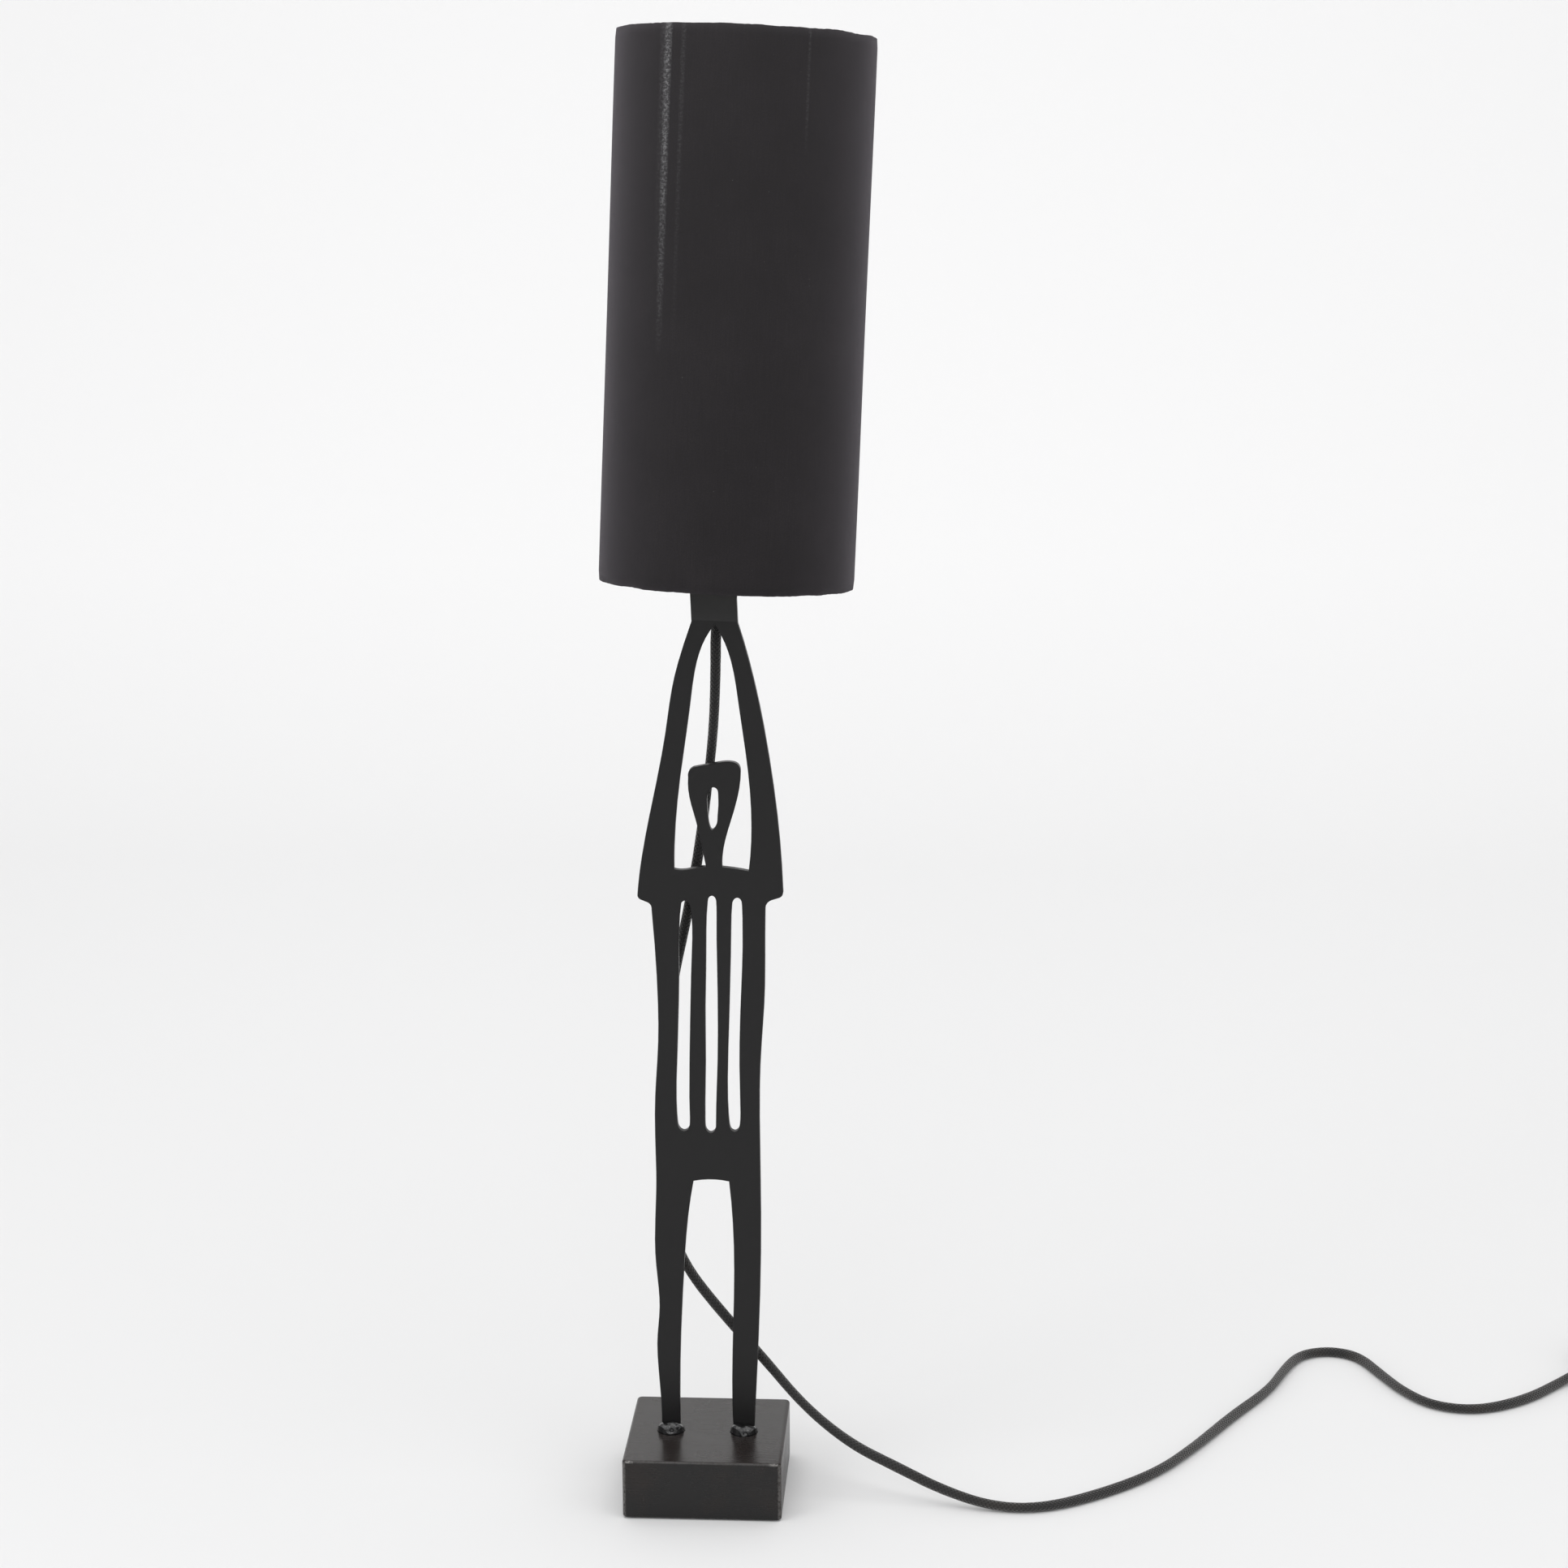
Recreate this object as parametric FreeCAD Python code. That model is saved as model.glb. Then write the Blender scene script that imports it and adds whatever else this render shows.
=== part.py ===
import FreeCAD, Part
import math
import os

from FreeCAD import Vector

# Figural table lamp: a standing figure cut from steel plate, on a square steel block,
# holds a tall drum shade over its raised hands.
# Millimetres. Origin: centre of the lamp's underside. +X to the figure's side that is
# on the right from the front, +Y to the back, +Z up.

# ---- base ----
BASE_SIDE = 100.0
BASE_TOP = 39.0            # height of the block's top above the table
BASE_CORNER_ROUND = 3.3    # upright edges
BASE_TOP_ROUND = 1.8
BASE_FOOT_ROUND = 1.0      # lower edges
FELT_THICK = 1.0
FELT_INSET = 3.0           # felt's edge stands in from the block's edge
FELT_CORNER = 4.0
FOOT_LEFT_X = -23.3
FOOT_RIGHT_X = 23.4
FOOT_Y = -1.4              # the foot recesses and studs
RECESS_RADIUS = 8.7
RECESS_DEPTH = 1.5
RECESS_RIM_CHAMFER = 0.5
STUD_RADIUS = 5.0
STUD_CLEARANCE = 0.2
NUT_POCKET_RADIUS = 12.0
NUT_POCKET_DEPTH = 13.0
POCKET_ROOF = FELT_THICK + NUT_POCKET_DEPTH
WASHER_RADIUS = 10.5
WASHER_THICK = 2.0
NUT_FLATS = 17.0
NUT_THICK = 8.0
STUD_END_GAP = 1.5         # stud stops short of the felt

# ---- figure plate ----
PLATE_THICK = 5.0
PLATE_FRONT = -2.5         # y of the front face
PLATE_EDGE_BREAK = 0.4     # the cut edges are ground off
BEND_X = 8.7               # middle of the lower bend line
BEND_Z = 563.5
TAB_LEAN_BACK = 8.0        # degrees, the tab above the lower bend
LOWER_BEND_RADIUS = 14.0   # to the middle of the sheet
UPPER_BEND_RADIUS = 7.5

# ---- shade and holder axis ----
AXIS_RIGHT = 2.26          # degrees the axis leans to the right
AXIS_BACK = 4.14           # degrees it leans back
RIM_X = 14.45              # centre of the shade's lower rim
RIM_Y = 20.0
RIM_Z = 583.6
SHADE_RADIUS = 77.6
SHADE_HEIGHT = 325.8
SHADE_WALL = 1.2
SHADE_WIRE = 3.2           # diameter of the frame wires
WIRE_GAP = 0.1
WIRE_INSET = 1.2           # wires stand in from the shade's cut edges
SPIDER_ARMS = 3
SPIDER_ARM_TURN = 50.0     # degrees, first arm

# ---- holder, heights along the axis from the flange's upper face ----
FLANGE_ABOVE_RIM = 44.0
FLANGE_RADIUS = 22.5
NIPPLE_RADIUS = 4.95
NIPPLE_BORE = 3.5
NIPPLE_BELOW = 11.0
NIPPLE_ABOVE = 12.0
THREAD_GAP = 0.05
LOCKNUT_FLATS = 14.0
LOCKNUT_THICK = 4.0
CAP_NECK_RADIUS = 12.0
CAP_RADIUS = 20.6
CAP_HEIGHT = 26.0
CAP_WALL = 1.8
SHELL_RADIUS = 19.6
SHELL_WALL = 1.5
SHELL_SKIRT = 5.0
SHELL_TOP = 62.0
RING_OUTER = 28.5
RING_THICK = 4.0
LOWER_RING_AT = 33.0
RING_LIP = 1.6
SPIDER_PLATE = 2.0
SPIDER_PLATE_RADIUS = 32.0
SPIDER_KNEE_OUT = 9.0      # the arms' bend, out from the plate
SPIDER_KNEE_DROP = 3.0
BODY_GAP = 0.05            # between flat faces that turn on each other
RUN_GAP = 0.08             # radial, where one piece turns on another
INSERT_RADIUS = 17.9
INSERT_FLOOR = 8.0
INSERT_AT = 21.0
INSERT_TOP = 46.0
LINER_WALL = 0.7
LINER_TOP = 57.0

# ---- bulb ----
BULB_CAP_RADIUS = 13.0
BULB_CAP_WALL = 0.4
BULB_CONTACT_AT = 30.7
BULB_CAP_AT = 35.0
BULB_CAP_TOP = 58.0
BULB_RADIUS = 30.0
BULB_CENTRE = 110.0
BULB_GLASS_WALL = 0.9
BULB_NECK = 12.5

# ---- cord ----
CORD_RADIUS = 3.3
RELIEF_LENGTH = 22.0
RELIEF_MOUTH = 4.4
RELIEF_ROOT = 6.6
RELIEF_LEAD = 12.0         # straight run of cord under the relief
SWITCH_LENGTH = 58.0
SWITCH_WIDTH = 26.0
SWITCH_BASE_HEIGHT = 9.0
SWITCH_COVER_HEIGHT = 9.0
SWITCH_CORD_Z = 6.0
SWITCH_ROUND = 2.4
ROCKER_LENGTH = 20.4       # across its round ends
ROCKER_WIDTH = 11.0
ROCKER_GAP = 0.25
ROCKER_TILT = 8.0          # each side of level
TRUNNION_RADIUS = 1.5
TRUNNION_REACH = 2.4
PIVOT_ABOVE_BASE = 4.0
SWITCH_SCREW_SPACING = 42.0
COIL_RADIUS = 43.0         # entry and exit turns
COIL_STEP = 7.3            # from one turn to the next
COIL_TURNS = 3.5
COIL_RISE = 7.3            # from the lower layer to the upper one
COIL_LEAD = 36.0           # straight from switch to coil
PLUG_LEAD = 32.0           # straight from coil to plug
PLUG_LENGTH = 34.0
PLUG_FRONT_WIDTH = 26.0
PLUG_REAR_WIDTH = 15.0
PLUG_THICK = 14.0
PLUG_REAR_THICK = 11.0
PLUG_RELIEF = 24.0
PIN_RADIUS = 2.0
PIN_LENGTH = 19.0
PIN_SPACING = 18.6

# ---- derived ----
PLATE_MIDDLE = PLATE_FRONT + PLATE_THICK / 2
FOOT_Z = BASE_TOP - RECESS_DEPTH


def axis_vector():
    right, back = math.radians(AXIS_RIGHT), math.radians(AXIS_BACK)
    return Vector(math.tan(right), math.tan(back), 1).normalize()


AXIS = axis_vector()
SIDEWAYS = Vector(0, 1, 0).cross(AXIS).normalize()      # along the bend lines
RIM = Vector(RIM_X, RIM_Y, RIM_Z)
FLANGE = RIM + AXIS * FLANGE_ABOVE_RIM
TO_RIM = FreeCAD.Placement(RIM, FreeCAD.Rotation(Vector(0, 0, 1), AXIS))
TO_FLANGE = FreeCAD.Placement(FLANGE, FreeCAD.Rotation(Vector(0, 0, 1), AXIS))


def out(node, shape):
    os.makedirs("parts", exist_ok=True)
    shape.exportStep("parts/" + node + ".step")
    print(node, "solids", len(shape.Solids), "volume", round(shape.Volume, 1))


def placed(shape, placement):
    moved = shape.copy()
    moved.transformShape(placement.toMatrix(), True)
    return moved


def turned(profile):
    """Solid of revolution about Z of a closed profile of (radius, height) points."""
    points = [Vector(r, 0, z) for r, z in profile]
    face = Part.Face(Part.makePolygon(points + points[:1]))
    return face.revolve(Vector(0, 0, 0), Vector(0, 0, 1), 360)


def tube(outer, inner, low, high):
    return turned([(inner, low), (outer, low), (outer, high), (inner, high)])


def hexagon(flats, thick, low):
    corner = flats / math.sqrt(3)
    points = [Vector(corner * math.cos(math.radians(60 * k)), corner * math.sin(math.radians(60 * k)), low)
              for k in range(7)]
    return Part.Face(Part.makePolygon(points)).extrude(Vector(0, 0, thick))


def edges_at(shape, z):
    return [e for e in shape.Edges if abs(e.BoundBox.ZMin - z) < 0.01 and abs(e.BoundBox.ZMax - z) < 0.01]


def smooth(points):
    """One smooth edge through the given (x, z) points, on the plate's front face."""
    curve = Part.BSplineCurve()
    curve.interpolate([Vector(x, PLATE_FRONT, z) for x, z in points])
    return curve.toShape()


def smooth_loop(points):
    """Closed wire of one spline that runs through the given (x, z) points and meets itself smoothly."""
    curve = Part.BSplineCurve()
    curve.interpolate(Points=[Vector(x, PLATE_FRONT, z) for x, z in points], PeriodicFlag=True)
    return Part.Wire(curve.toShape())


def plate_wire(runs):
    """Closed wire of smooth runs; each run starts where the one before it ends."""
    return Part.Wire([smooth(run) for run in runs])


# ---- figure plate ----

def bend_line_z(x):
    return BEND_Z - (x - BEND_X) * AXIS.x / AXIS.z


ARM_LEFT_TOP = (-5.1, bend_line_z(-5.1))
ARM_RIGHT_TOP = (22.9, bend_line_z(22.9))
LEFT_ELBOW = (-40.1, 393.4)
LEFT_CUFF = (-37.8, 389.8)
LEFT_HEM = (-34.8, 388.6)
LEFT_ARMPIT = (-31.5, 383.6)
RIGHT_ELBOW = (49.7, 396.3)
RIGHT_CUFF = (46.6, 391.8)
RIGHT_HEM = (43.2, 390.7)
RIGHT_ARMPIT = (38.7, 384.8)
LEFT_FOOT_OUTER = (-29.2, FOOT_Z)
LEFT_FOOT_INNER = (-17.3, FOOT_Z)
RIGHT_FOOT_INNER = (16.9, FOOT_Z)
RIGHT_FOOT_OUTER = (30.0, FOOT_Z)
CROTCH_LEFT = (-7.3, 207.6)
CROTCH_RIGHT = (15.1, 207.6)

OUTER = [
    [ARM_LEFT_TOP, (-10.1, 549.5), (-16.6, 526.5), (-21.5, 496.4), (-29.4, 455.8), (-37.5, 414.8), LEFT_ELBOW],
    [LEFT_ELBOW, (-39.6, 391.1), LEFT_CUFF],
    [LEFT_CUFF, LEFT_HEM],
    [LEFT_HEM, (-32.3, 386.9), LEFT_ARMPIT],
    [LEFT_ARMPIT, (-30.2, 366), (-28.3, 322), (-28.5, 298), (-30.8, 262), (-31.1, 236), (-30.8, 205),
     (-31.8, 155), (-29.7, 122), (-31.3, 102), (-30.2, 72), LEFT_FOOT_OUTER],
    [LEFT_FOOT_OUTER, LEFT_FOOT_INNER],
    [LEFT_FOOT_INNER, (-16.5, 100), (-14.5, 139.6), (-10.8, 185.3), CROTCH_LEFT],
    [CROTCH_LEFT, (3.9, 208.8), CROTCH_RIGHT],
    [CROTCH_RIGHT, (17.3, 179.3), (17.9, 153), (17.3, 120), RIGHT_FOOT_INNER],
    [RIGHT_FOOT_INNER, RIGHT_FOOT_OUTER],
    [RIGHT_FOOT_OUTER, (32.1, 81), (34.0, 127), (35.0, 185), (34.5, 250), (35.2, 286), (38.0, 330),
     (38.4, 361), RIGHT_ARMPIT],
    [RIGHT_ARMPIT, (40.1, 388.8), RIGHT_HEM],
    [RIGHT_HEM, RIGHT_CUFF],
    [RIGHT_CUFF, (49.0, 393.3), RIGHT_ELBOW],
    [RIGHT_ELBOW, (49.3, 405.5), (47.1, 436.2), (42.0, 476.8), (34.9, 516.9), (27.7, 546.8), ARM_RIGHT_TOP],
    [ARM_RIGHT_TOP, ARM_LEFT_TOP],
]

# The opening between the raised arms, round the head, neck and shoulders.
ARMS_TOP = (8.9, 562.0)
LEFT_SHOULDER = (-17.3, 409.6)
NECK_LEFT = (2.4, 411.3)
NECK_RIGHT = (12.3, 411.2)
RIGHT_SHOULDER = (28.6, 408.8)
TEMPLE_LEFT = (-8.1, 467.5)
CROWN_LEFT = (-4.6, 473.8)
CROWN_RIGHT = (18.8, 477.2)
TEMPLE_RIGHT = (24.0, 471.0)
ARMS_OPENING = [
    [ARMS_TOP, (1.4, 549.6), (-6.6, 511.6), (-12.5, 471.2), (-16.7, 430.4), LEFT_SHOULDER],
    [LEFT_SHOULDER, (-12.5, 409), (-4, 410.5), NECK_LEFT],
    [NECK_LEFT, (0.4, 421.9), (-3.6, 440.3), (-7.2, 454), TEMPLE_LEFT],
    [TEMPLE_LEFT, (-7.2, 471.9), CROWN_LEFT],
    [CROWN_LEFT, (1.4, 475.0), (9.0, 476.5), (15.0, 477.4), CROWN_RIGHT],
    [CROWN_RIGHT, (22.6, 475.5), TEMPLE_RIGHT],
    [TEMPLE_RIGHT, (22.4, 457), (18.1, 441), (13.7, 425.6), NECK_RIGHT],
    [NECK_RIGHT, (20, 410.3), RIGHT_SHOULDER],
    [RIGHT_SHOULDER, (30.4, 436), (28.5, 471.6), (23.2, 511.8), (15.4, 549.7), ARMS_TOP],
]

HEAD_SLOT = [(4.7, 459.2), (3.5, 455.8), (3.3, 451), (3.8, 444), (4.6, 437.8), (6.3, 434.5), (8.5, 436.8),
             (9.7, 443), (10.3, 451), (10.2, 456.5), (9.4, 460.2), (7.3, 461.3)]
RIB_SLOTS = [
    [(-13.5, 386.2), (-14.4, 378), (-14.9, 366), (-15.0, 345), (-15.6, 320), (-16.5, 295), (-17.5, 270),
     (-17.5, 256), (-17.0, 246.6), (-15.6, 241.9), (-13.0, 240.4), (-10.4, 241.8), (-9.2, 246.2), (-9.3, 256),
     (-9.3, 270), (-8.8, 297), (-8.0, 326), (-7.2, 350), (-6.5, 367), (-6.7, 378), (-7.8, 386.2),
     (-9.0, 388.9), (-10.8, 389.6), (-12.5, 388.8)],
    [(3.1, 388.6), (2.4, 380), (2.0, 368), (1.7, 345), (1.1, 320), (1.1, 292), (0.7, 270), (0.4, 256),
     (0.4, 245.6), (1.5, 240.8), (3.7, 239.4), (6.1, 240.8), (7.2, 245.8), (7.4, 258), (8.2, 278), (8.8, 304),
     (8.8, 335), (8.5, 360), (8.6, 378), (8.5, 388.6), (7.6, 391.9), (5.8, 392.9), (4.0, 391.8)],
    [(18.2, 387.4), (17.6, 379), (17.4, 367), (16.8, 345), (16.0, 318), (15.0, 290), (14.6, 268), (14.9, 254),
     (15.6, 245.2), (16.9, 241.5), (18.9, 240.6), (21.0, 241.9), (22.2, 246.0), (22.5, 258), (22.1, 282),
     (22.5, 308), (23.6, 336), (24.5, 358), (24.6, 374), (24.3, 387.4), (23.3, 390.9), (21.4, 391.8),
     (19.5, 390.8)],
]


def flat_figure():
    holes = [plate_wire(ARMS_OPENING)] + [smooth_loop(points) for points in [HEAD_SLOT] + RIB_SLOTS]
    face = Part.Face(plate_wire(OUTER))
    for wire in holes:
        face = face.cut(Part.Face(wire))
    figure = face.extrude(Vector(0, PLATE_THICK, 0)).Solids[0]
    below_bend = min(ARM_LEFT_TOP[1], ARM_RIGHT_TOP[1]) - PLATE_EDGE_BREAK
    rims = [e for e in figure.Edges if e.BoundBox.YLength < PLATE_EDGE_BREAK and e.BoundBox.ZMin < below_bend]
    return figure.makeChamfer(PLATE_EDGE_BREAK, rims)


# The tab's sides above the bend, seen from the front, and then well clear of the flange.
TAB_OVERLAP = 6.0
TAB_SIDES = [(-5.8, 577.4), (-7.4, 606.0), (-7.4, 650.0), (38.0, 650.0), (37.0, 618.0), (24.6, 598.0),
             (22.2, 577.4)]
SHEET_HALF_SPAN = 60.0
SHEET_ROOM = 20.0          # cutting shapes reach this far past the sheet


def sheet_profile():
    """Side view of the bent tab and flange, a closed face across the bend lines."""
    up = AXIS.cross(SIDEWAYS).normalize()             # lies in the flange, to the back
    level = Vector(BEND_X, PLATE_MIDDLE, BEND_Z)
    rise = SIDEWAYS.cross(Vector(0, 1, 0)).normalize() * -1
    if rise.z < 0:
        rise = rise * -1
    if up.y < 0:
        up = up * -1
    back = Vector(0, 1, 0)
    lean = math.radians(TAB_LEAN_BACK)
    tab_way = rise * math.cos(lean) + back * math.sin(lean)
    tab_side = back * math.cos(lean) - rise * math.sin(lean)
    # the flange's middle plane, and where the tab's middle plane meets it
    flange_middle = FLANGE - AXIS * (PLATE_THICK / 2)
    bend_length = LOWER_BEND_RADIUS * math.tan(lean / 2)
    corner_low = level + rise * bend_length
    to_flange = (flange_middle - corner_low).dot(AXIS) / tab_way.dot(AXIS)
    corner_high = corner_low + tab_way * to_flange
    corner_high = corner_high - SIDEWAYS * (corner_high - level).dot(SIDEWAYS)
    half_turn = tab_way.getAngle(up) / 2
    upper_length = UPPER_BEND_RADIUS * math.tan(half_turn)
    far = corner_high + up * ((flange_middle - corner_high).dot(up) + FLANGE_RADIUS + 2)
    half = PLATE_THICK / 2

    def arc(centre, start, end, radius):
        middle = (start + end) * 0.5 - centre
        return Part.Arc(start, centre + middle.normalize() * radius, end).toShape()

    low_centre = level + back * LOWER_BEND_RADIUS
    low_a, low_b = level, corner_low + tab_way * bend_length
    high_centre = corner_high - tab_way * upper_length + tab_side * UPPER_BEND_RADIUS
    high_a, high_b = corner_high - tab_way * upper_length, corner_high + up * upper_length

    def side(offset):
        """Edges of one face of the sheet; offset is positive towards the bends' centres."""
        a = low_a + back * offset
        b = low_b + tab_side * offset
        c = high_a + tab_side * offset
        d = high_b - AXIS * offset
        e = far - AXIS * offset
        return a, e, [arc(low_centre, a, b, LOWER_BEND_RADIUS - offset), Part.makeLine(b, c),
                      arc(high_centre, c, d, UPPER_BEND_RADIUS - offset), Part.makeLine(d, e)]

    a0, e0, inner = side(half)
    a1, e1, outer = side(-half)
    edges = inner + [Part.makeLine(e0, e1)] + outer + [Part.makeLine(a1, a0)]
    return Part.Face(Part.Wire(Part.__sortEdges__(edges)))


def bent_tab():
    """The tab above the lower bend, folded back to a round flange for the holder."""
    sheet = sheet_profile()
    sheet.translate(SIDEWAYS * -SHEET_HALF_SPAN)
    sheet = sheet.extrude(SIDEWAYS * (2 * SHEET_HALF_SPAN))
    below = BEND_Z - TAB_OVERLAP
    edge = [(ARM_LEFT_TOP[0], below), ARM_LEFT_TOP] + TAB_SIDES + [ARM_RIGHT_TOP, (ARM_RIGHT_TOP[0], below)]
    points = [Vector(x, PLATE_FRONT - SHEET_ROOM, z) for x, z in edge]
    tab = Part.Face(Part.makePolygon(points + points[:1]))
    tab = tab.extrude(Vector(0, FLANGE.y - PLATE_FRONT + SHEET_ROOM * 0.4, 0))
    disc = placed(Part.makeCylinder(FLANGE_RADIUS, 3 * PLATE_THICK, Vector(0, 0, -2 * PLATE_THICK)), TO_FLANGE)
    return sheet.common(tab.fuse(disc))


def figure_plate():
    plate = flat_figure().fuse(bent_tab()).removeSplitter()
    hole = placed(Part.makeCylinder(NIPPLE_RADIUS + THREAD_GAP, 4 * PLATE_THICK, Vector(0, 0, -3 * PLATE_THICK)),
                  TO_FLANGE)
    return plate.cut(hole)


# ---- base ----

def base_block():
    half = BASE_SIDE / 2
    block = Part.makeBox(BASE_SIDE, BASE_SIDE, BASE_TOP - FELT_THICK, Vector(-half, -half, FELT_THICK))
    block = block.makeFillet(BASE_CORNER_ROUND, [e for e in block.Edges if e.BoundBox.ZLength > FELT_THICK])
    block = block.makeFillet(BASE_TOP_ROUND, edges_at(block, BASE_TOP))
    block = block.makeFillet(BASE_FOOT_ROUND, edges_at(block, FELT_THICK))
    hole = STUD_RADIUS + STUD_CLEARANCE
    past = RECESS_RIM_CHAMFER                         # the cutter ends this far outside the block
    cutter = turned([(0, FELT_THICK - past), (NUT_POCKET_RADIUS, FELT_THICK - past),
                     (NUT_POCKET_RADIUS, POCKET_ROOF), (hole, POCKET_ROOF), (hole, FOOT_Z),
                     (RECESS_RADIUS, FOOT_Z), (RECESS_RADIUS, BASE_TOP - RECESS_RIM_CHAMFER),
                     (RECESS_RADIUS + RECESS_RIM_CHAMFER + past, BASE_TOP + past), (0, BASE_TOP + past)])
    return block.cut(at_feet(cutter).Solids)


def felt_pad():
    half = BASE_SIDE / 2 - FELT_INSET
    pad = Part.makeBox(2 * half, 2 * half, FELT_THICK, Vector(-half, -half, 0))
    return pad.makeFillet(FELT_CORNER, [e for e in pad.Edges if e.BoundBox.ZLength > FELT_THICK / 2])


def at_feet(shape):
    pieces = []
    for x in (FOOT_LEFT_X, FOOT_RIGHT_X):
        piece = shape.copy()
        piece.translate(Vector(x, FOOT_Y, 0))
        pieces.append(piece)
    return Part.makeCompound(pieces)


# The bead's lumps for a left foot: offset across, y, z, and radii across, in depth and in height.
WELD_LUMPS = [(0.0, -3.6, 39.4, 8.0, 6.1, 7.4), (-3.2, -4.4, 39.0, 5.2, 5.3, 5.4), (3.6, -4.8, 38.6, 5.0, 4.9, 4.6)]


def foot_weld(x, side):
    """Weld bead that wraps the front of a leg's end, inside its recess; side -1 mirrors it."""
    bead = None
    for across, y, z, wide, deep, tall in WELD_LUMPS:
        stretch = FreeCAD.Matrix()
        stretch.scale(wide, deep, tall)
        stretch.move(Vector(x + side * across, y, z))
        lump = Part.makeSphere(1.0).transformGeometry(stretch)
        bead = lump if bead is None else bead.fuse(lump)
    in_front = Part.makeBox(BASE_SIDE, BASE_SIDE / 2, BASE_TOP, Vector(-BASE_SIDE / 2, PLATE_FRONT - BASE_SIDE / 2, FOOT_Z))
    recess = Part.makeCylinder(RECESS_RADIUS - RUN_GAP, BASE_TOP, Vector(x, FOOT_Y, FOOT_Z))
    return bead.common(in_front).common(recess)


# ---- lampholder, along +Z from the flange's upper face ----

def nipple():
    return tube(NIPPLE_RADIUS, NIPPLE_BORE, -NIPPLE_BELOW, NIPPLE_ABOVE)


def locknut():
    body = hexagon(LOCKNUT_FLATS, LOCKNUT_THICK, -PLATE_THICK - LOCKNUT_THICK)
    return body.cut(Part.makeCylinder(NIPPLE_RADIUS + THREAD_GAP, 40, Vector(0, 0, -20)))


def holder_cap():
    hole = NIPPLE_RADIUS + THREAD_GAP
    inner = CAP_RADIUS - CAP_WALL
    return turned([(hole, 0), (CAP_NECK_RADIUS, 0), (CAP_NECK_RADIUS + 1.5, 4), (CAP_RADIUS - 3, 14),
                   (CAP_RADIUS, 20), (CAP_RADIUS, CAP_HEIGHT), (inner - 0.6, CAP_HEIGHT),
                   (inner - 0.6, 20.6), (inner - 3.4, 15), (CAP_NECK_RADIUS - 2, 6), (hole + 3.2, 5),
                   (hole + 3.2, 11), (hole, 11)])


def holder_shell():
    inner = SHELL_RADIUS - SHELL_WALL
    return turned([(inner, CAP_HEIGHT), (CAP_RADIUS, CAP_HEIGHT), (CAP_RADIUS, CAP_HEIGHT + SHELL_SKIRT),
                   (SHELL_RADIUS, CAP_HEIGHT + SHELL_SKIRT + 1), (SHELL_RADIUS, SHELL_TOP - 0.8),
                   (SHELL_RADIUS - 0.8, SHELL_TOP), (inner, SHELL_TOP)])


def holder_insert():
    """Porcelain cup that carries the contacts and the threaded liner."""
    liner = BULB_CAP_RADIUS + RUN_GAP + LINER_WALL
    low = INSERT_AT
    return turned([(0, low), (INSERT_RADIUS - 3, low), (INSERT_RADIUS - 3, CAP_HEIGHT + 0.2),
                   (INSERT_RADIUS, CAP_HEIGHT + 0.2), (INSERT_RADIUS, INSERT_TOP), (liner, INSERT_TOP),
                   (liner, low + INSERT_FLOOR), (0, low + INSERT_FLOOR)])


def holder_liner():
    inner = BULB_CAP_RADIUS + RUN_GAP
    return tube(inner + LINER_WALL, inner, INSERT_AT + INSERT_FLOOR, LINER_TOP)


def centre_contact():
    floor = INSERT_AT + INSERT_FLOOR
    return Part.makeBox(9, 4, BULB_CONTACT_AT - BODY_GAP - floor, Vector(-4.5, -2, floor))


def terminal_screws():
    """Two cheese-head screws under the insert, with driver slots."""
    screws = []
    for x in (-8, 8):
        screw = Part.makeCylinder(2.6, 2.2, Vector(x, 0, INSERT_AT - 2.2))
        screws.append(screw.cut(Part.makeBox(6, 0.8, 1, Vector(x - 3, -0.4, INSERT_AT - 2.4))))
    return Part.makeCompound(screws)


def shade_ring(low):
    """Threaded ring with a flat rim; its lip is ribbed for the fingers."""
    inner = SHELL_RADIUS + RUN_GAP
    ring = turned([(inner, low), (inner + RING_LIP + 1.4, low), (RING_OUTER - 1, low + RING_THICK - 2.2),
                   (RING_OUTER, low + RING_THICK - 1.6), (RING_OUTER, low + RING_THICK),
                   (inner, low + RING_THICK)])
    notch = Part.makeCylinder(1.5, RING_THICK + 2, Vector(RING_OUTER + 0.6, 0, low - 1))
    notches = []
    for k in range(12):
        cut = notch.copy()
        cut.rotate(Vector(0, 0, 0), Vector(0, 0, 1), 30 * k)
        notches.append(cut)
    return ring.cut(notches)


SPIDER_AT = LOWER_RING_AT + RING_THICK + BODY_GAP
UPPER_RING_AT = SPIDER_AT + SPIDER_PLATE + BODY_GAP


def upper_ring():
    ring = shade_ring(0)
    ring.rotate(Vector(0, 0, 0), Vector(1, 0, 0), 180)
    ring.translate(Vector(0, 0, UPPER_RING_AT + RING_THICK))
    return ring


# ---- bulb ----

def bulb_contact():
    return turned([(0, BULB_CONTACT_AT), (4.4, BULB_CONTACT_AT), (5, BULB_CONTACT_AT + 1), (11.5, BULB_CAP_AT - 1),
                   (12.2, BULB_CAP_AT - BODY_GAP), (0, BULB_CAP_AT - BODY_GAP)])


def bulb_cap():
    inner = BULB_CAP_RADIUS - BULB_CAP_WALL
    return turned([(0, BULB_CAP_AT), (BULB_CAP_RADIUS - 0.6, BULB_CAP_AT), (BULB_CAP_RADIUS, BULB_CAP_AT + 0.6),
                   (BULB_CAP_RADIUS, BULB_CAP_TOP), (inner, BULB_CAP_TOP), (inner, BULB_CAP_AT + 1), (0, BULB_CAP_AT + 1)])


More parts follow.
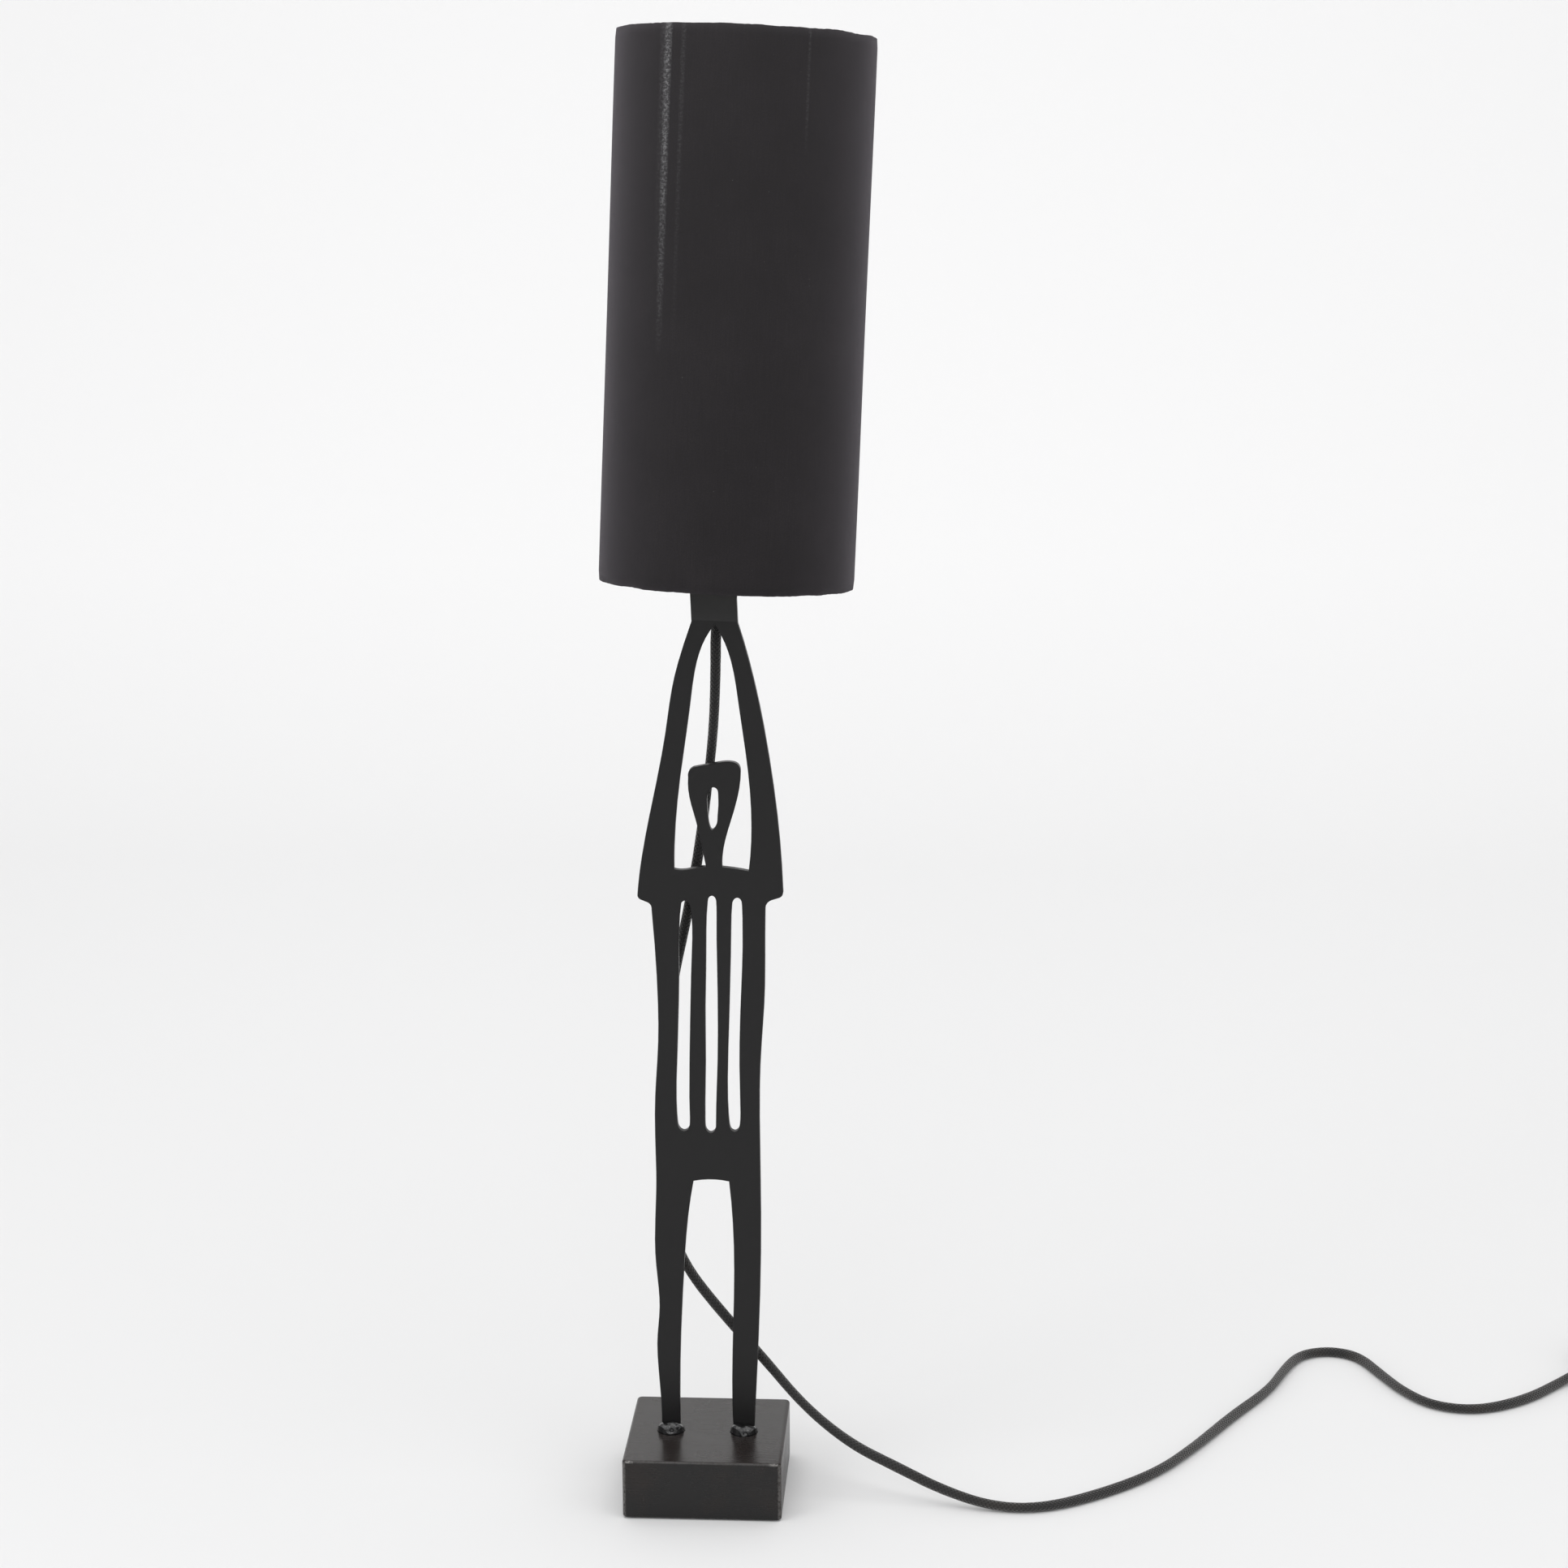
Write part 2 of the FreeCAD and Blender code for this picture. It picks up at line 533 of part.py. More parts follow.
def bulb_outline(offset):
    """Half outline of the glass as edges, from the neck's end to the top."""
    neck, ball = BULB_NECK - offset, BULB_RADIUS - offset
    start = math.radians(-38)
    low, neck_top = Vector(neck, 0, BULB_CAP_TOP - 8), Vector(neck, 0, BULB_CAP_TOP + 3)
    join = Vector(ball * math.cos(start), 0, BULB_CENTRE + ball * math.sin(start))
    bow = Vector(BULB_NECK + 4.4 - offset, 0, BULB_CAP_TOP + 18)
    middle = Vector(ball * math.cos(0.3), 0, BULB_CENTRE + ball * math.sin(0.3))
    top = Vector(0, 0, BULB_CENTRE + ball)
    return low, top, [Part.makeLine(low, neck_top), Part.Arc(neck_top, bow, join).toShape(),
                      Part.Arc(join, middle, top).toShape()]


def bulb_glass():
    low_out, top_out, outside = bulb_outline(0)
    low_in, top_in, inside = bulb_outline(BULB_GLASS_WALL)
    edges = outside + inside + [Part.makeLine(low_out, low_in), Part.makeLine(top_out, top_in)]
    face = Part.Face(Part.Wire(Part.__sortEdges__(edges)))
    return face.revolve(Vector(0, 0, 0), Vector(0, 0, 1), 360)


# ---- shade, along +Z from its lower rim ----

def shade_drum():
    return tube(SHADE_RADIUS, SHADE_RADIUS - SHADE_WALL, 0, SHADE_HEIGHT)


WIRE_RADIUS_AT = SHADE_RADIUS - SHADE_WALL - WIRE_GAP - SHADE_WIRE / 2
LOWER_WIRE_Z = WIRE_INSET + SHADE_WIRE / 2
SPIDER_LOW = FLANGE_ABOVE_RIM + SPIDER_AT


def shade_wire_ring(height):
    return Part.makeTorus(WIRE_RADIUS_AT, SHADE_WIRE / 2, Vector(0, 0, height))


def spider_plate():
    return tube(SPIDER_PLATE_RADIUS, SHELL_RADIUS + RUN_GAP, SPIDER_LOW, SPIDER_LOW + SPIDER_PLATE)


def spider_arms():
    """Three bent arms, butt welded to the plate's edge and to the lower wire."""
    middle = SPIDER_LOW + SPIDER_PLATE / 2
    start = Vector(SPIDER_PLATE_RADIUS - SPIDER_PLATE / 2, 0, middle)
    knee = Vector(SPIDER_PLATE_RADIUS + SPIDER_KNEE_OUT, 0, middle - SPIDER_KNEE_DROP)
    end = Vector(WIRE_RADIUS_AT, 0, LOWER_WIRE_Z)
    arm = rod(start, knee).fuse([Part.makeSphere(SHADE_WIRE / 2, knee), rod(knee, end)])
    ring = shade_wire_ring(LOWER_WIRE_Z)
    ring.rotate(Vector(0, 0, 0), Vector(0, 0, 1), 90)     # the ring's seam stays clear of the arm
    arm = arm.cut([spider_plate(), ring])
    # what is left past the wire's far side goes too
    arm = max(arm.Solids, key=lambda solid: solid.Volume)
    arms = []
    for k in range(SPIDER_ARMS):
        turned_arm = arm.copy()
        turned_arm.rotate(Vector(0, 0, 0), Vector(0, 0, 1), SPIDER_ARM_TURN + 360 * k / SPIDER_ARMS)
        arms.append(turned_arm)
    return Part.makeCompound(arms)


def rod(start, end):
    way = end - start
    return Part.makeCylinder(SHADE_WIRE / 2, way.Length, start, way)


# ---- cord ----

RELIEF_END = FLANGE - AXIS * (NIPPLE_BELOW + RELIEF_LENGTH)
FLOOR = CORD_RADIUS

# Points that the cord's route turns at, from the lamp to the switch.
ROUTE = [
    tuple(RELIEF_END),
    tuple(RELIEF_END - AXIS * RELIEF_LEAD),
    (8.2, 14.6, 560),
    (8.0, 14.2, 530),
    (6.4, 14.4, 492),
    (0.8, 14.0, 446),
    (-4.6, 14.2, 408),
    (-12.6, 14.0, 368),
    (-20.6, 14.2, 331),
    (-25.0, 14.4, 288),
    (-26.4, 14.0, 245),
    (-26.2, 14.2, 205),
    (-23.6, 14.0, 171),
    (-14.2, 13.8, 143.5),
    (10.0, 13.0, 112),
    (35.0, 11.5, 84),
    (62.0, 6.0, 53),
    (92.0, -6.0, 33.5),
    (122.0, -15.0, 22.5),
    (150.0, -20.5, 10.5),
    (182.0, -28.0, FLOOR),
    (214.0, -28.5, FLOOR),
    (252.0, -6.0, FLOOR),
    (288.0, 26.0, FLOOR),
    (316.0, 68.0, FLOOR),
    (344.0, 117.0, FLOOR),
    (372.0, 160.0, FLOOR),
    (386.0, 196.0, FLOOR),
    (396.5, 217.5, FLOOR),
    (407.5, 226.8, FLOOR),
    (421.0, 229.8, FLOOR),
    (433.8, 226.0, FLOOR),
    (443.0, 216.0, FLOOR),
    (451.0, 195.0, FLOOR),
    (464.0, 163.0, FLOOR),
    (482.0, 140.0, FLOOR),
    (511.0, 134.5, FLOOR),
    (545.0, 153.0, FLOOR),
    (574.0, 184.0, FLOOR),
]
LEAVES_AT = 43.0           # degrees from +X, the way the cord leaves the view
HEADING = Vector(math.cos(math.radians(LEAVES_AT)), math.sin(math.radians(LEAVES_AT)), 0)
RIGHT_HAND = Vector(HEADING.y, -HEADING.x, 0)
SWITCH_FROM = Vector(602.0, 210.0, SWITCH_CORD_Z)
SWITCH_TO = SWITCH_FROM + HEADING * SWITCH_LENGTH
COIL_FROM = Vector(SWITCH_TO.x, SWITCH_TO.y, FLOOR) + HEADING * COIL_LEAD
COIL_CENTRE = COIL_FROM + RIGHT_HAND * COIL_RADIUS


def run_and_arc_wire(points):
    """Straight runs joined by tangent arcs, each as large as its two runs allow."""
    edges, radii = [], []
    start = points[0]
    for before, at, after in zip(points, points[1:], points[2:]):
        way_in, way_out = (at - before), (after - at)
        reach = 0.45 * min(way_in.Length, way_out.Length)
        way_in.normalize()
        way_out.normalize()
        half_turn = way_in.getAngle(way_out) / 2
        radius = reach / math.tan(half_turn)
        first, last = at - way_in * reach, at + way_out * reach
        towards = (way_out - way_in).normalize()
        bulge = at + towards * (radius / math.cos(half_turn) - radius)
        edges.append(Part.LineSegment(start, first).toShape())
        edges.append(Part.Arc(first, bulge, last).toShape())
        radii.append(round(radius, 1))
        start = last
    edges.append(Part.LineSegment(start, points[-1]).toShape())
    return Part.Wire(edges), radii


def pipe(wire, radius, way):
    ring = Part.Wire(Part.makeCircle(radius, wire.Edges[0].Vertexes[0].Point, way))
    shell = Part.BRepOffsetAPI.MakePipeShell(wire)
    shell.add(ring)
    shell.build()
    shell.makeSolid()
    return shell.shape()


def report_tube(name, solid, wire, radii):
    share = solid.Volume / (math.pi * CORD_RADIUS ** 2 * wire.Length)
    print(name, "length", round(wire.Length, 1), "volume share", round(share, 4), "least radius", min(radii))
    print("  radii", radii)


def cord_run():
    points = [Vector(*p) for p in ROUTE]
    points.append(SWITCH_FROM - HEADING * 14)
    points.append(SWITCH_FROM)
    wire, radii = run_and_arc_wire(points)
    solid = pipe(wire, CORD_RADIUS, points[1] - points[0])
    report_tube("cord_run", solid, wire, radii)
    return solid


def coil_point(turns):
    """Point of the coil: it spirals in on the floor, climbs, and spirals out on top."""
    middle = COIL_TURNS / 2
    away = abs(turns - middle)
    soft = 0.12
    away = math.sqrt(away * away + soft * soft)
    full = math.sqrt(middle * middle + soft * soft)
    radius = COIL_RADIUS - COIL_STEP * (full - away)
    climb = min(max((turns - middle) / 0.5 + 0.5, 0), 1)
    height = FLOOR + COIL_RISE * climb * climb * (3 - 2 * climb)
    angle = -2 * math.pi * turns
    out_way = RIGHT_HAND * (-radius * math.cos(angle)) + HEADING * (-radius * math.sin(angle))
    return Vector(COIL_CENTRE.x + out_way.x, COIL_CENTRE.y + out_way.y, height)


def coil_way(turns):
    step = 1e-4
    low, high = max(turns - step, 0), min(turns + step, COIL_TURNS)
    return (coil_point(high) - coil_point(low)).normalize()


def biarc(start, start_way, end, end_way):
    """Two arcs, smooth where they meet, from start to end along the given ways."""
    chord = end - start
    both = start_way + end_way
    bend = 2 * (1 - start_way.dot(end_way))
    run = chord.dot(both)
    reach = (-run + math.sqrt(run * run + bend * chord.dot(chord))) / bend
    first, last = start + start_way * reach, end - end_way * reach
    meet = (first + last) * 0.5
    arcs = []
    for a, corner, b in ((start, first, meet), (meet, last, end)):
        half = (a + b) * 0.5
        sagitta = corner - half
        chord_half = (b - a).Length / 2
        leg = (corner - a).Length
        sine = chord_half / leg
        turn_half = math.acos(min(sine, 1))
        depth = chord_half * math.tan(turn_half / 2)
        arcs.append(Part.Arc(a, half + sagitta.normalize() * depth, b).toShape())
    return arcs


def coil_wire():
    steps = int(COIL_TURNS * 4)
    knots = [COIL_TURNS * k / steps for k in range(steps + 1)]
    edges = []
    enter, leave = coil_point(0), coil_point(COIL_TURNS)
    start, end = SWITCH_TO, leave - HEADING * PLUG_LEAD
    end = Vector(end.x, end.y, PLUG_THICK / 2)
    edges.append(Part.makeLine(start, start + HEADING * 6.6))
    edges += biarc(start + HEADING * 6.6, HEADING, enter, coil_way(0))
    for a, b in zip(knots, knots[1:]):
        edges += biarc(coil_point(a), coil_way(a), coil_point(b), coil_way(b))
    before_plug = end + HEADING * 6.6
    edges += biarc(leave, coil_way(COIL_TURNS), before_plug, HEADING * -1)
    edges.append(Part.makeLine(before_plug, end))
    return Part.Wire(edges), end


def coil_least_gap():
    count = 48
    points = [coil_point(k / count) for k in range(int(COIL_TURNS * count) + 1)]
    least = min((p - q).Length for i, p in enumerate(points) for q in points[i + count // 2:])
    return least - 2 * CORD_RADIUS


def cord_coil():
    wire, end = coil_wire()
    solid = pipe(wire, CORD_RADIUS, HEADING)
    radii = [round(e.Curve.Radius, 1) for e in wire.Edges if hasattr(e.Curve, "Radius")]
    report_tube("cord_coil", solid, wire, radii)
    print("  least gap between turns", round(coil_least_gap(), 2))
    return solid


def cord_relief():
    low = -NIPPLE_BELOW
    return turned([(0.0, low), (RELIEF_ROOT, low), (RELIEF_ROOT, low - 4), (RELIEF_MOUTH, low - RELIEF_LENGTH),
                   (0.0, low - RELIEF_LENGTH)])


# ---- switch on the cord, built along +X from its entry and then turned to its place ----

TO_SWITCH = FreeCAD.Placement(Vector(SWITCH_FROM.x, SWITCH_FROM.y, 0), FreeCAD.Rotation(Vector(0, 0, 1), LEAVES_AT))
PIVOT = Vector(SWITCH_LENGTH / 2, 0, SWITCH_BASE_HEIGHT + PIVOT_ABOVE_BASE)


def capsule(low, high):
    """Block with round ends in plan, as long and wide as the switch, with flat tips."""
    half = SWITCH_WIDTH / 2
    tip = SWITCH_WIDTH / 4
    bow = 7.0
    p = [Vector(0, -tip, low), Vector(bow, -half, low), Vector(SWITCH_LENGTH - bow, -half, low),
         Vector(SWITCH_LENGTH, -tip, low), Vector(SWITCH_LENGTH, tip, low), Vector(SWITCH_LENGTH - bow, half, low),
         Vector(bow, half, low), Vector(0, tip, low)]
    swell = 0.72
    near, far = bow * (1 - swell), SWITCH_LENGTH - bow * (1 - swell)
    wide = tip + (half - tip) * swell
    edges = [Part.Arc(p[0], Vector(near, -wide, low), p[1]).toShape(), Part.makeLine(p[1], p[2]),
             Part.Arc(p[2], Vector(far, -wide, low), p[3]).toShape(), Part.makeLine(p[3], p[4]),
             Part.Arc(p[4], Vector(far, wide, low), p[5]).toShape(), Part.makeLine(p[5], p[6]),
             Part.Arc(p[6], Vector(near, wide, low), p[7]).toShape(), Part.makeLine(p[7], p[0])]
    return Part.Face(Part.Wire(edges)).extrude(Vector(0, 0, high - low))


def switch_base():
    base = capsule(0, SWITCH_BASE_HEIGHT)
    base = base.makeChamfer(1.0, edges_at(base, 0))
    for x in screw_places():
        base = base.cut(Part.makeCylinder(1.6, SWITCH_BASE_HEIGHT + 2, Vector(x, 0, -1)))
        base = base.cut(Part.makeCylinder(3.1, 3.2, Vector(x, 0, -1)))
    return placed(base, TO_SWITCH)


def screw_places():
    return [(SWITCH_LENGTH - SWITCH_SCREW_SPACING) / 2, (SWITCH_LENGTH + SWITCH_SCREW_SPACING) / 2]


def switch_cover():
    low, high = SWITCH_BASE_HEIGHT, SWITCH_BASE_HEIGHT + SWITCH_COVER_HEIGHT
    cover = capsule(low, high)
    cover = cover.makeFillet(SWITCH_ROUND, edges_at(cover, high))
    room_x, room_y = ROCKER_LENGTH / 2 + ROCKER_GAP, ROCKER_WIDTH / 2 + ROCKER_GAP
    window = Part.makeBox(2 * room_x, 2 * room_y, SWITCH_COVER_HEIGHT + 2, Vector(PIVOT.x - room_x, -room_y, low - 1))
    slot_radius = TRUNNION_RADIUS + RUN_GAP
    slot_half = room_y + TRUNNION_REACH
    seat = Part.makeCylinder(slot_radius, 2 * slot_half, Vector(PIVOT.x, -slot_half, PIVOT.z), Vector(0, 1, 0))
    way_in = Part.makeBox(2 * slot_radius, 2 * slot_half, PIVOT.z - low + 1,
                          Vector(PIVOT.x - slot_radius, -slot_half, low - 1))
    cover = cover.cut([window, seat, way_in])
    for x in screw_places():
        cover = cover.cut(Part.makeCylinder(1.3, 6, Vector(x, 0, low - 1)))
    return placed(cover, TO_SWITCH)


def switch_rocker():
    """Rocker with a dished top and round ends, tipped to its off side at rest."""
    half_width = ROCKER_WIDTH / 2
    ends = ROCKER_LENGTH / 2
    profile = [(-ends, -2.0), (ends, -2.0), (ends, 6.4), (0, 4.4), (-ends, 6.4)]
    points = [Vector(x, -half_width, z) for x, z in profile]
    body = Part.Face(Part.makePolygon(points + points[:1])).extrude(Vector(0, ROCKER_WIDTH, 0))
    body = body.common(Part.makeCylinder(ends, ROCKER_WIDTH, Vector(0, -half_width, 0), Vector(0, 1, 0)))
    reach = half_width + ROCKER_GAP + TRUNNION_REACH - RUN_GAP
    body = body.fuse(Part.makeCylinder(TRUNNION_RADIUS, 2 * reach, Vector(0, -reach, 0), Vector(0, 1, 0)))
    body.rotate(Vector(0, 0, 0), Vector(0, 1, 0), -ROCKER_TILT)
    body.translate(PIVOT)
    return placed(body, TO_SWITCH)


def switch_screws():
    screws = []
    for x in screw_places():
        head = Part.makeCylinder(2.9, 1.9, Vector(x, 0, 0.3))
        shank = Part.makeCylinder(1.25, SWITCH_BASE_HEIGHT + 3, Vector(x, 0, 1))
        screws.append(head.fuse(shank).cut(Part.makeBox(4, 0.8, 1, Vector(x - 2, -0.4, 0))))
    return placed(Part.makeCompound(screws), TO_SWITCH)


# ---- plug, built along +X from the coil's end ----

PLUG_FROM = coil_point(COIL_TURNS) - HEADING * PLUG_LEAD
TO_PLUG = FreeCAD.Placement(Vector(PLUG_FROM.x, PLUG_FROM.y, PLUG_THICK / 2),
                            FreeCAD.Rotation(Vector(0, 0, 1), LEAVES_AT + 180))


def oval(x, width, height):
    """Flat-sided section with round ends, across the plug."""
    half, flat = height / 2, width / 2 - height / 2
    edges = [Part.makeLine(Vector(x, -flat, half), Vector(x, flat, half)),
             Part.Arc(Vector(x, flat, half), Vector(x, width / 2, 0), Vector(x, flat, -half)).toShape(),
             Part.makeLine(Vector(x, flat, -half), Vector(x, -flat, -half)),
             Part.Arc(Vector(x, -flat, -half), Vector(x, -width / 2, 0), Vector(x, -flat, half)).toShape()]
    return Part.Wire(edges)


def plug_relief():
    cone = Part.makeCone(RELIEF_MOUTH, RELIEF_ROOT - 1.2, PLUG_RELIEF, Vector(0, 0, 0), Vector(1, 0, 0))
    return placed(cone, TO_PLUG)


def plug_body():
    back, front = PLUG_RELIEF, PLUG_RELIEF + PLUG_LENGTH
    waist = back + 0.45 * PLUG_LENGTH
    body = Part.makeLoft([oval(back, PLUG_REAR_WIDTH, PLUG_REAR_THICK),
                          oval(waist, PLUG_REAR_WIDTH + 3, PLUG_REAR_THICK + 0.6),
                          oval(front - 8, PLUG_FRONT_WIDTH, PLUG_THICK),
                          oval(front, PLUG_FRONT_WIDTH, PLUG_THICK)], True, True)
    return placed(body, TO_PLUG)


def plug_pins():
    pins = []
    for y in (-PIN_SPACING / 2, PIN_SPACING / 2):
        front = PLUG_RELIEF + PLUG_LENGTH
        pin = Part.makeCylinder(PIN_RADIUS, PIN_LENGTH, Vector(front, y, 0), Vector(1, 0, 0))
        tip = [e for e in pin.Edges if e.BoundBox.XMin > front + PIN_LENGTH - 0.1]
        pins.append(pin.makeFillet(0.9, tip))
    return placed(Part.makeCompound(pins), TO_PLUG)


# ---- all pieces ----

STUD_LOW = FELT_THICK + STUD_END_GAP
WASHER = tube(WASHER_RADIUS, STUD_RADIUS + STUD_CLEARANCE, POCKET_ROOF - WASHER_THICK, POCKET_ROOF)
NUT = hexagon(NUT_FLATS, NUT_THICK, POCKET_ROOF - WASHER_THICK - NUT_THICK).cut(
    Part.makeCylinder(STUD_RADIUS + THREAD_GAP, BASE_TOP))
STUD = Part.makeCylinder(STUD_RADIUS, FOOT_Z - STUD_LOW, Vector(0, 0, STUD_LOW))

out("base_block", base_block())
out("felt_pad", felt_pad())
out("figure_plate", figure_plate())
out("left_foot_weld", foot_weld(FOOT_LEFT_X, 1))
out("right_foot_weld", foot_weld(FOOT_RIGHT_X, -1))
out("leg_studs", at_feet(STUD))
out("stud_washers", at_feet(WASHER))
out("stud_nuts", at_feet(NUT))
out("threaded_nipple", placed(nipple(), TO_FLANGE))
out("nipple_locknut", placed(locknut(), TO_FLANGE))
out("lampholder_cap", placed(holder_cap(), TO_FLANGE))
out("lampholder_shell", placed(holder_shell(), TO_FLANGE))
out("lampholder_insert", placed(holder_insert(), TO_FLANGE))
out("lampholder_liner", placed(holder_liner(), TO_FLANGE))
out("centre_contact", placed(centre_contact(), TO_FLANGE))
out("terminal_screws", placed(terminal_screws(), TO_FLANGE))
out("lower_shade_ring", placed(shade_ring(LOWER_RING_AT), TO_FLANGE))
out("upper_shade_ring", placed(upper_ring(), TO_FLANGE))
out("bulb_contact", placed(bulb_contact(), TO_FLANGE))
out("bulb_cap", placed(bulb_cap(), TO_FLANGE))
out("bulb_glass", placed(bulb_glass(), TO_FLANGE))
out("shade_drum", placed(shade_drum(), TO_RIM))
out("shade_top_ring", placed(shade_wire_ring(SHADE_HEIGHT - LOWER_WIRE_Z), TO_RIM))
out("shade_lower_ring", placed(shade_wire_ring(LOWER_WIRE_Z), TO_RIM))
out("spider_plate", placed(spider_plate(), TO_RIM))
out("spider_arms", placed(spider_arms(), TO_RIM))
out("cord_strain_relief", placed(cord_relief(), TO_FLANGE))
out("cord_run", cord_run())
out("cord_coil", cord_coil())
out("switch_base", switch_base())
out("switch_cover", switch_cover())
out("switch_rocker", switch_rocker())
out("switch_screws", switch_screws())
out("plug_strain_relief", plug_relief())
out("plug_body", plug_body())
out("plug_pins", plug_pins())
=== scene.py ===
import math

import bmesh
import bpy
from mathutils import Matrix, Vector, noise


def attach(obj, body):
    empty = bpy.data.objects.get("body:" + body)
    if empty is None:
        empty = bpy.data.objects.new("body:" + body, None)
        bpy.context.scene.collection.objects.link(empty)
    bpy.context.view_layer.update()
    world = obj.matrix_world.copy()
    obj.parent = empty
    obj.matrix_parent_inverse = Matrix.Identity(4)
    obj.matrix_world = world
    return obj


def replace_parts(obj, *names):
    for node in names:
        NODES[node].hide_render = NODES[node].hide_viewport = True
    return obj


# Figural table lamp on a white sweep. Metres, in the CAD frame: origin under the base,
# +X to the right from the front, +Y to the back, +Z up.

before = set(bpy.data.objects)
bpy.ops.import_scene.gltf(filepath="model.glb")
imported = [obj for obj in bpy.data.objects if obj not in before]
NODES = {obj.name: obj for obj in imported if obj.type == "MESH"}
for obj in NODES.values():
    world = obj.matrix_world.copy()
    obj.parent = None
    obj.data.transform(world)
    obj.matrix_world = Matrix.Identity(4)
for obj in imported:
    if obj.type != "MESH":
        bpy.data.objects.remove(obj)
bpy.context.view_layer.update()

# ---- sizes shared by several pieces ----
AXIS_RIGHT, AXIS_BACK = math.radians(2.26), math.radians(4.14)
AXIS = Vector((math.tan(AXIS_RIGHT), math.tan(AXIS_BACK), 1)).normalized()
RIM = Vector((0.01445, 0.0200, 0.5836))          # centre of the shade's lower rim
SHADE_RADIUS = 0.0776
SHADE_HEIGHT = 0.3258
SHADE_WALL = 0.0012
FLANGE = RIM + AXIS * 0.044
RELIEF_END = FLANGE - AXIS * 0.033
STAND = Vector((0, 0, 1)).rotation_difference(AXIS)      # turns upright pieces onto the holder's axis
SEAM_AZIMUTH = math.radians(100)                 # shade's seam, at the back
WORN_GLINT_AZIMUTH = math.radians(-121)                # worn streak with a painted highlight, front left
WORN_GLINT_STREAKS = [(0.0, 0.190, 0.060, 0.0029, 0.62), (-0.0030, 0.150, 0.020, 0.0034, 0.16),
                (0.0103, 0.190, 0.060, 0.0022, 0.10), (0.0853, 0.072, 0.050, 0.0014, 0.09)]
BASE_HALF, BASE_TOP = 0.050, 0.039
FOOT_Y, PLATE_FRONT = -0.0014, -0.0025
FOOT_LEFT_X, FOOT_RIGHT_X = -0.0233, 0.0234
RECESS_RADIUS, RECESS_DEPTH = 0.0087, 0.0015
BULB_CAP_TOP, BULB_CENTRE = 0.058, 0.110         # up the axis from the flange
BEND_X, BEND_Z = 0.0087, 0.5635                   # where the plate starts to bend back
# colour of the plate's tab above the bend, painted lighter as painted light
TAB_PAINTED_LIGHT = (0.0200, 0.0196, 0.0200)
ZINC_COLOUR, BRASS_COLOUR, HOLDER_COLOUR = (0.60, 0.61, 0.62), (0.72, 0.53, 0.25), (0.014, 0.0135, 0.013)
E27_PITCH, NIPPLE_PITCH, SHELL_PITCH = 0.003629, 0.001, 0.0025


# ---- material helpers ----

class Shader:
    """A material's node tree with short calls to add and join nodes."""

    def __init__(self, name, colour, roughness, metallic=0.0):
        self.material = bpy.data.materials.new(name)
        self.material.use_nodes = True
        self.tree = self.material.node_tree
        self.surface = self.tree.nodes["Principled BSDF"]
        self.surface.inputs["Base Color"].default_value = (*colour, 1)
        self.surface.inputs["Roughness"].default_value = roughness
        self.surface.inputs["Metallic"].default_value = metallic

    def set(self, **values):
        for name, value in values.items():
            self.surface.inputs[name.replace("_", " ")].default_value = value

    def node(self, kind, **inputs):
        made = self.tree.nodes.new("ShaderNode" + kind)
        for name, value in inputs.items():
            socket = made.inputs[name.replace("_", " ")]
            if isinstance(value, bpy.types.NodeSocket):
                self.tree.links.new(value, socket)
            else:
                socket.default_value = value
        return made

    def coordinates(self, scale=(1, 1, 1)):
        mapping = self.node("Mapping", Scale=scale)
        self.tree.links.new(self.node("TexCoord").outputs["Object"], mapping.inputs["Vector"])
        return mapping.outputs["Vector"]

    def noise(self, vector, scale, detail=4.0, roughness=0.6, distortion=0.0):
        return self.node("TexNoise", Vector=vector, Scale=scale, Detail=detail, Roughness=roughness,
                         Distortion=distortion).outputs["Fac"]

    def ramp(self, factor, stops):
        made = self.node("ValToRGB", Fac=factor)
        elements = made.color_ramp.elements
        while len(elements) < len(stops):
            elements.new(0.5)
        for element, (position, colour) in zip(elements, stops):
            element.position = position
            element.color = (*colour, 1) if len(colour) == 3 else colour
        return made.outputs["Color"]

    def mask(self, factor, start, end):
        """Black up to start and white from end."""
        return self.ramp(factor, [(start, (0, 0, 0)), (end, (1, 1, 1))])

    def span(self, factor, low, high, start=0.0, end=1.0):
        """From low at start to high at end, and level beyond them."""
        made = self.node("MapRange", Value=factor)
        made.inputs["From Min"].default_value = start
        made.inputs["From Max"].default_value = end
        made.inputs["To Min"].default_value = low
        made.inputs["To Max"].default_value = high
        return made.outputs["Result"]

    def maths(self, operation, first, second=0.0):
        made = self.tree.nodes.new("ShaderNodeMath")
        made.operation = operation
        for socket, value in zip(made.inputs, (first, second)):
            if isinstance(value, bpy.types.NodeSocket):
                self.tree.links.new(value, socket)
            else:
                socket.default_value = value
        return made.outputs["Value"]

    def mix(self, factor, first, second):
        made = self.tree.nodes.new("ShaderNodeMix")
        made.data_type = "RGBA"
        colour_a, colour_b, colour_out = 6, 7, 2       # the node's colour sockets share names with others
        for socket, value in ((made.inputs["Factor"], factor), (made.inputs[colour_a], first),
                              (made.inputs[colour_b], second)):
            if isinstance(value, bpy.types.NodeSocket):
                self.tree.links.new(value, socket)
            elif isinstance(value, float):
                socket.default_value = value
            else:
                socket.default_value = (*value, 1)
        return made.outputs[colour_out]

    def bump(self, height, strength, distance, below=None):
        made = self.node("Bump", Height=height, Strength=strength, Distance=distance)
        if below is not None:
            self.tree.links.new(below, made.inputs["Normal"])
        return made.outputs["Normal"]

    def join(self, **links):
        for name, socket in links.items():
            self.tree.links.new(socket, self.surface.inputs[name.replace("_", " ")])
        return self.material


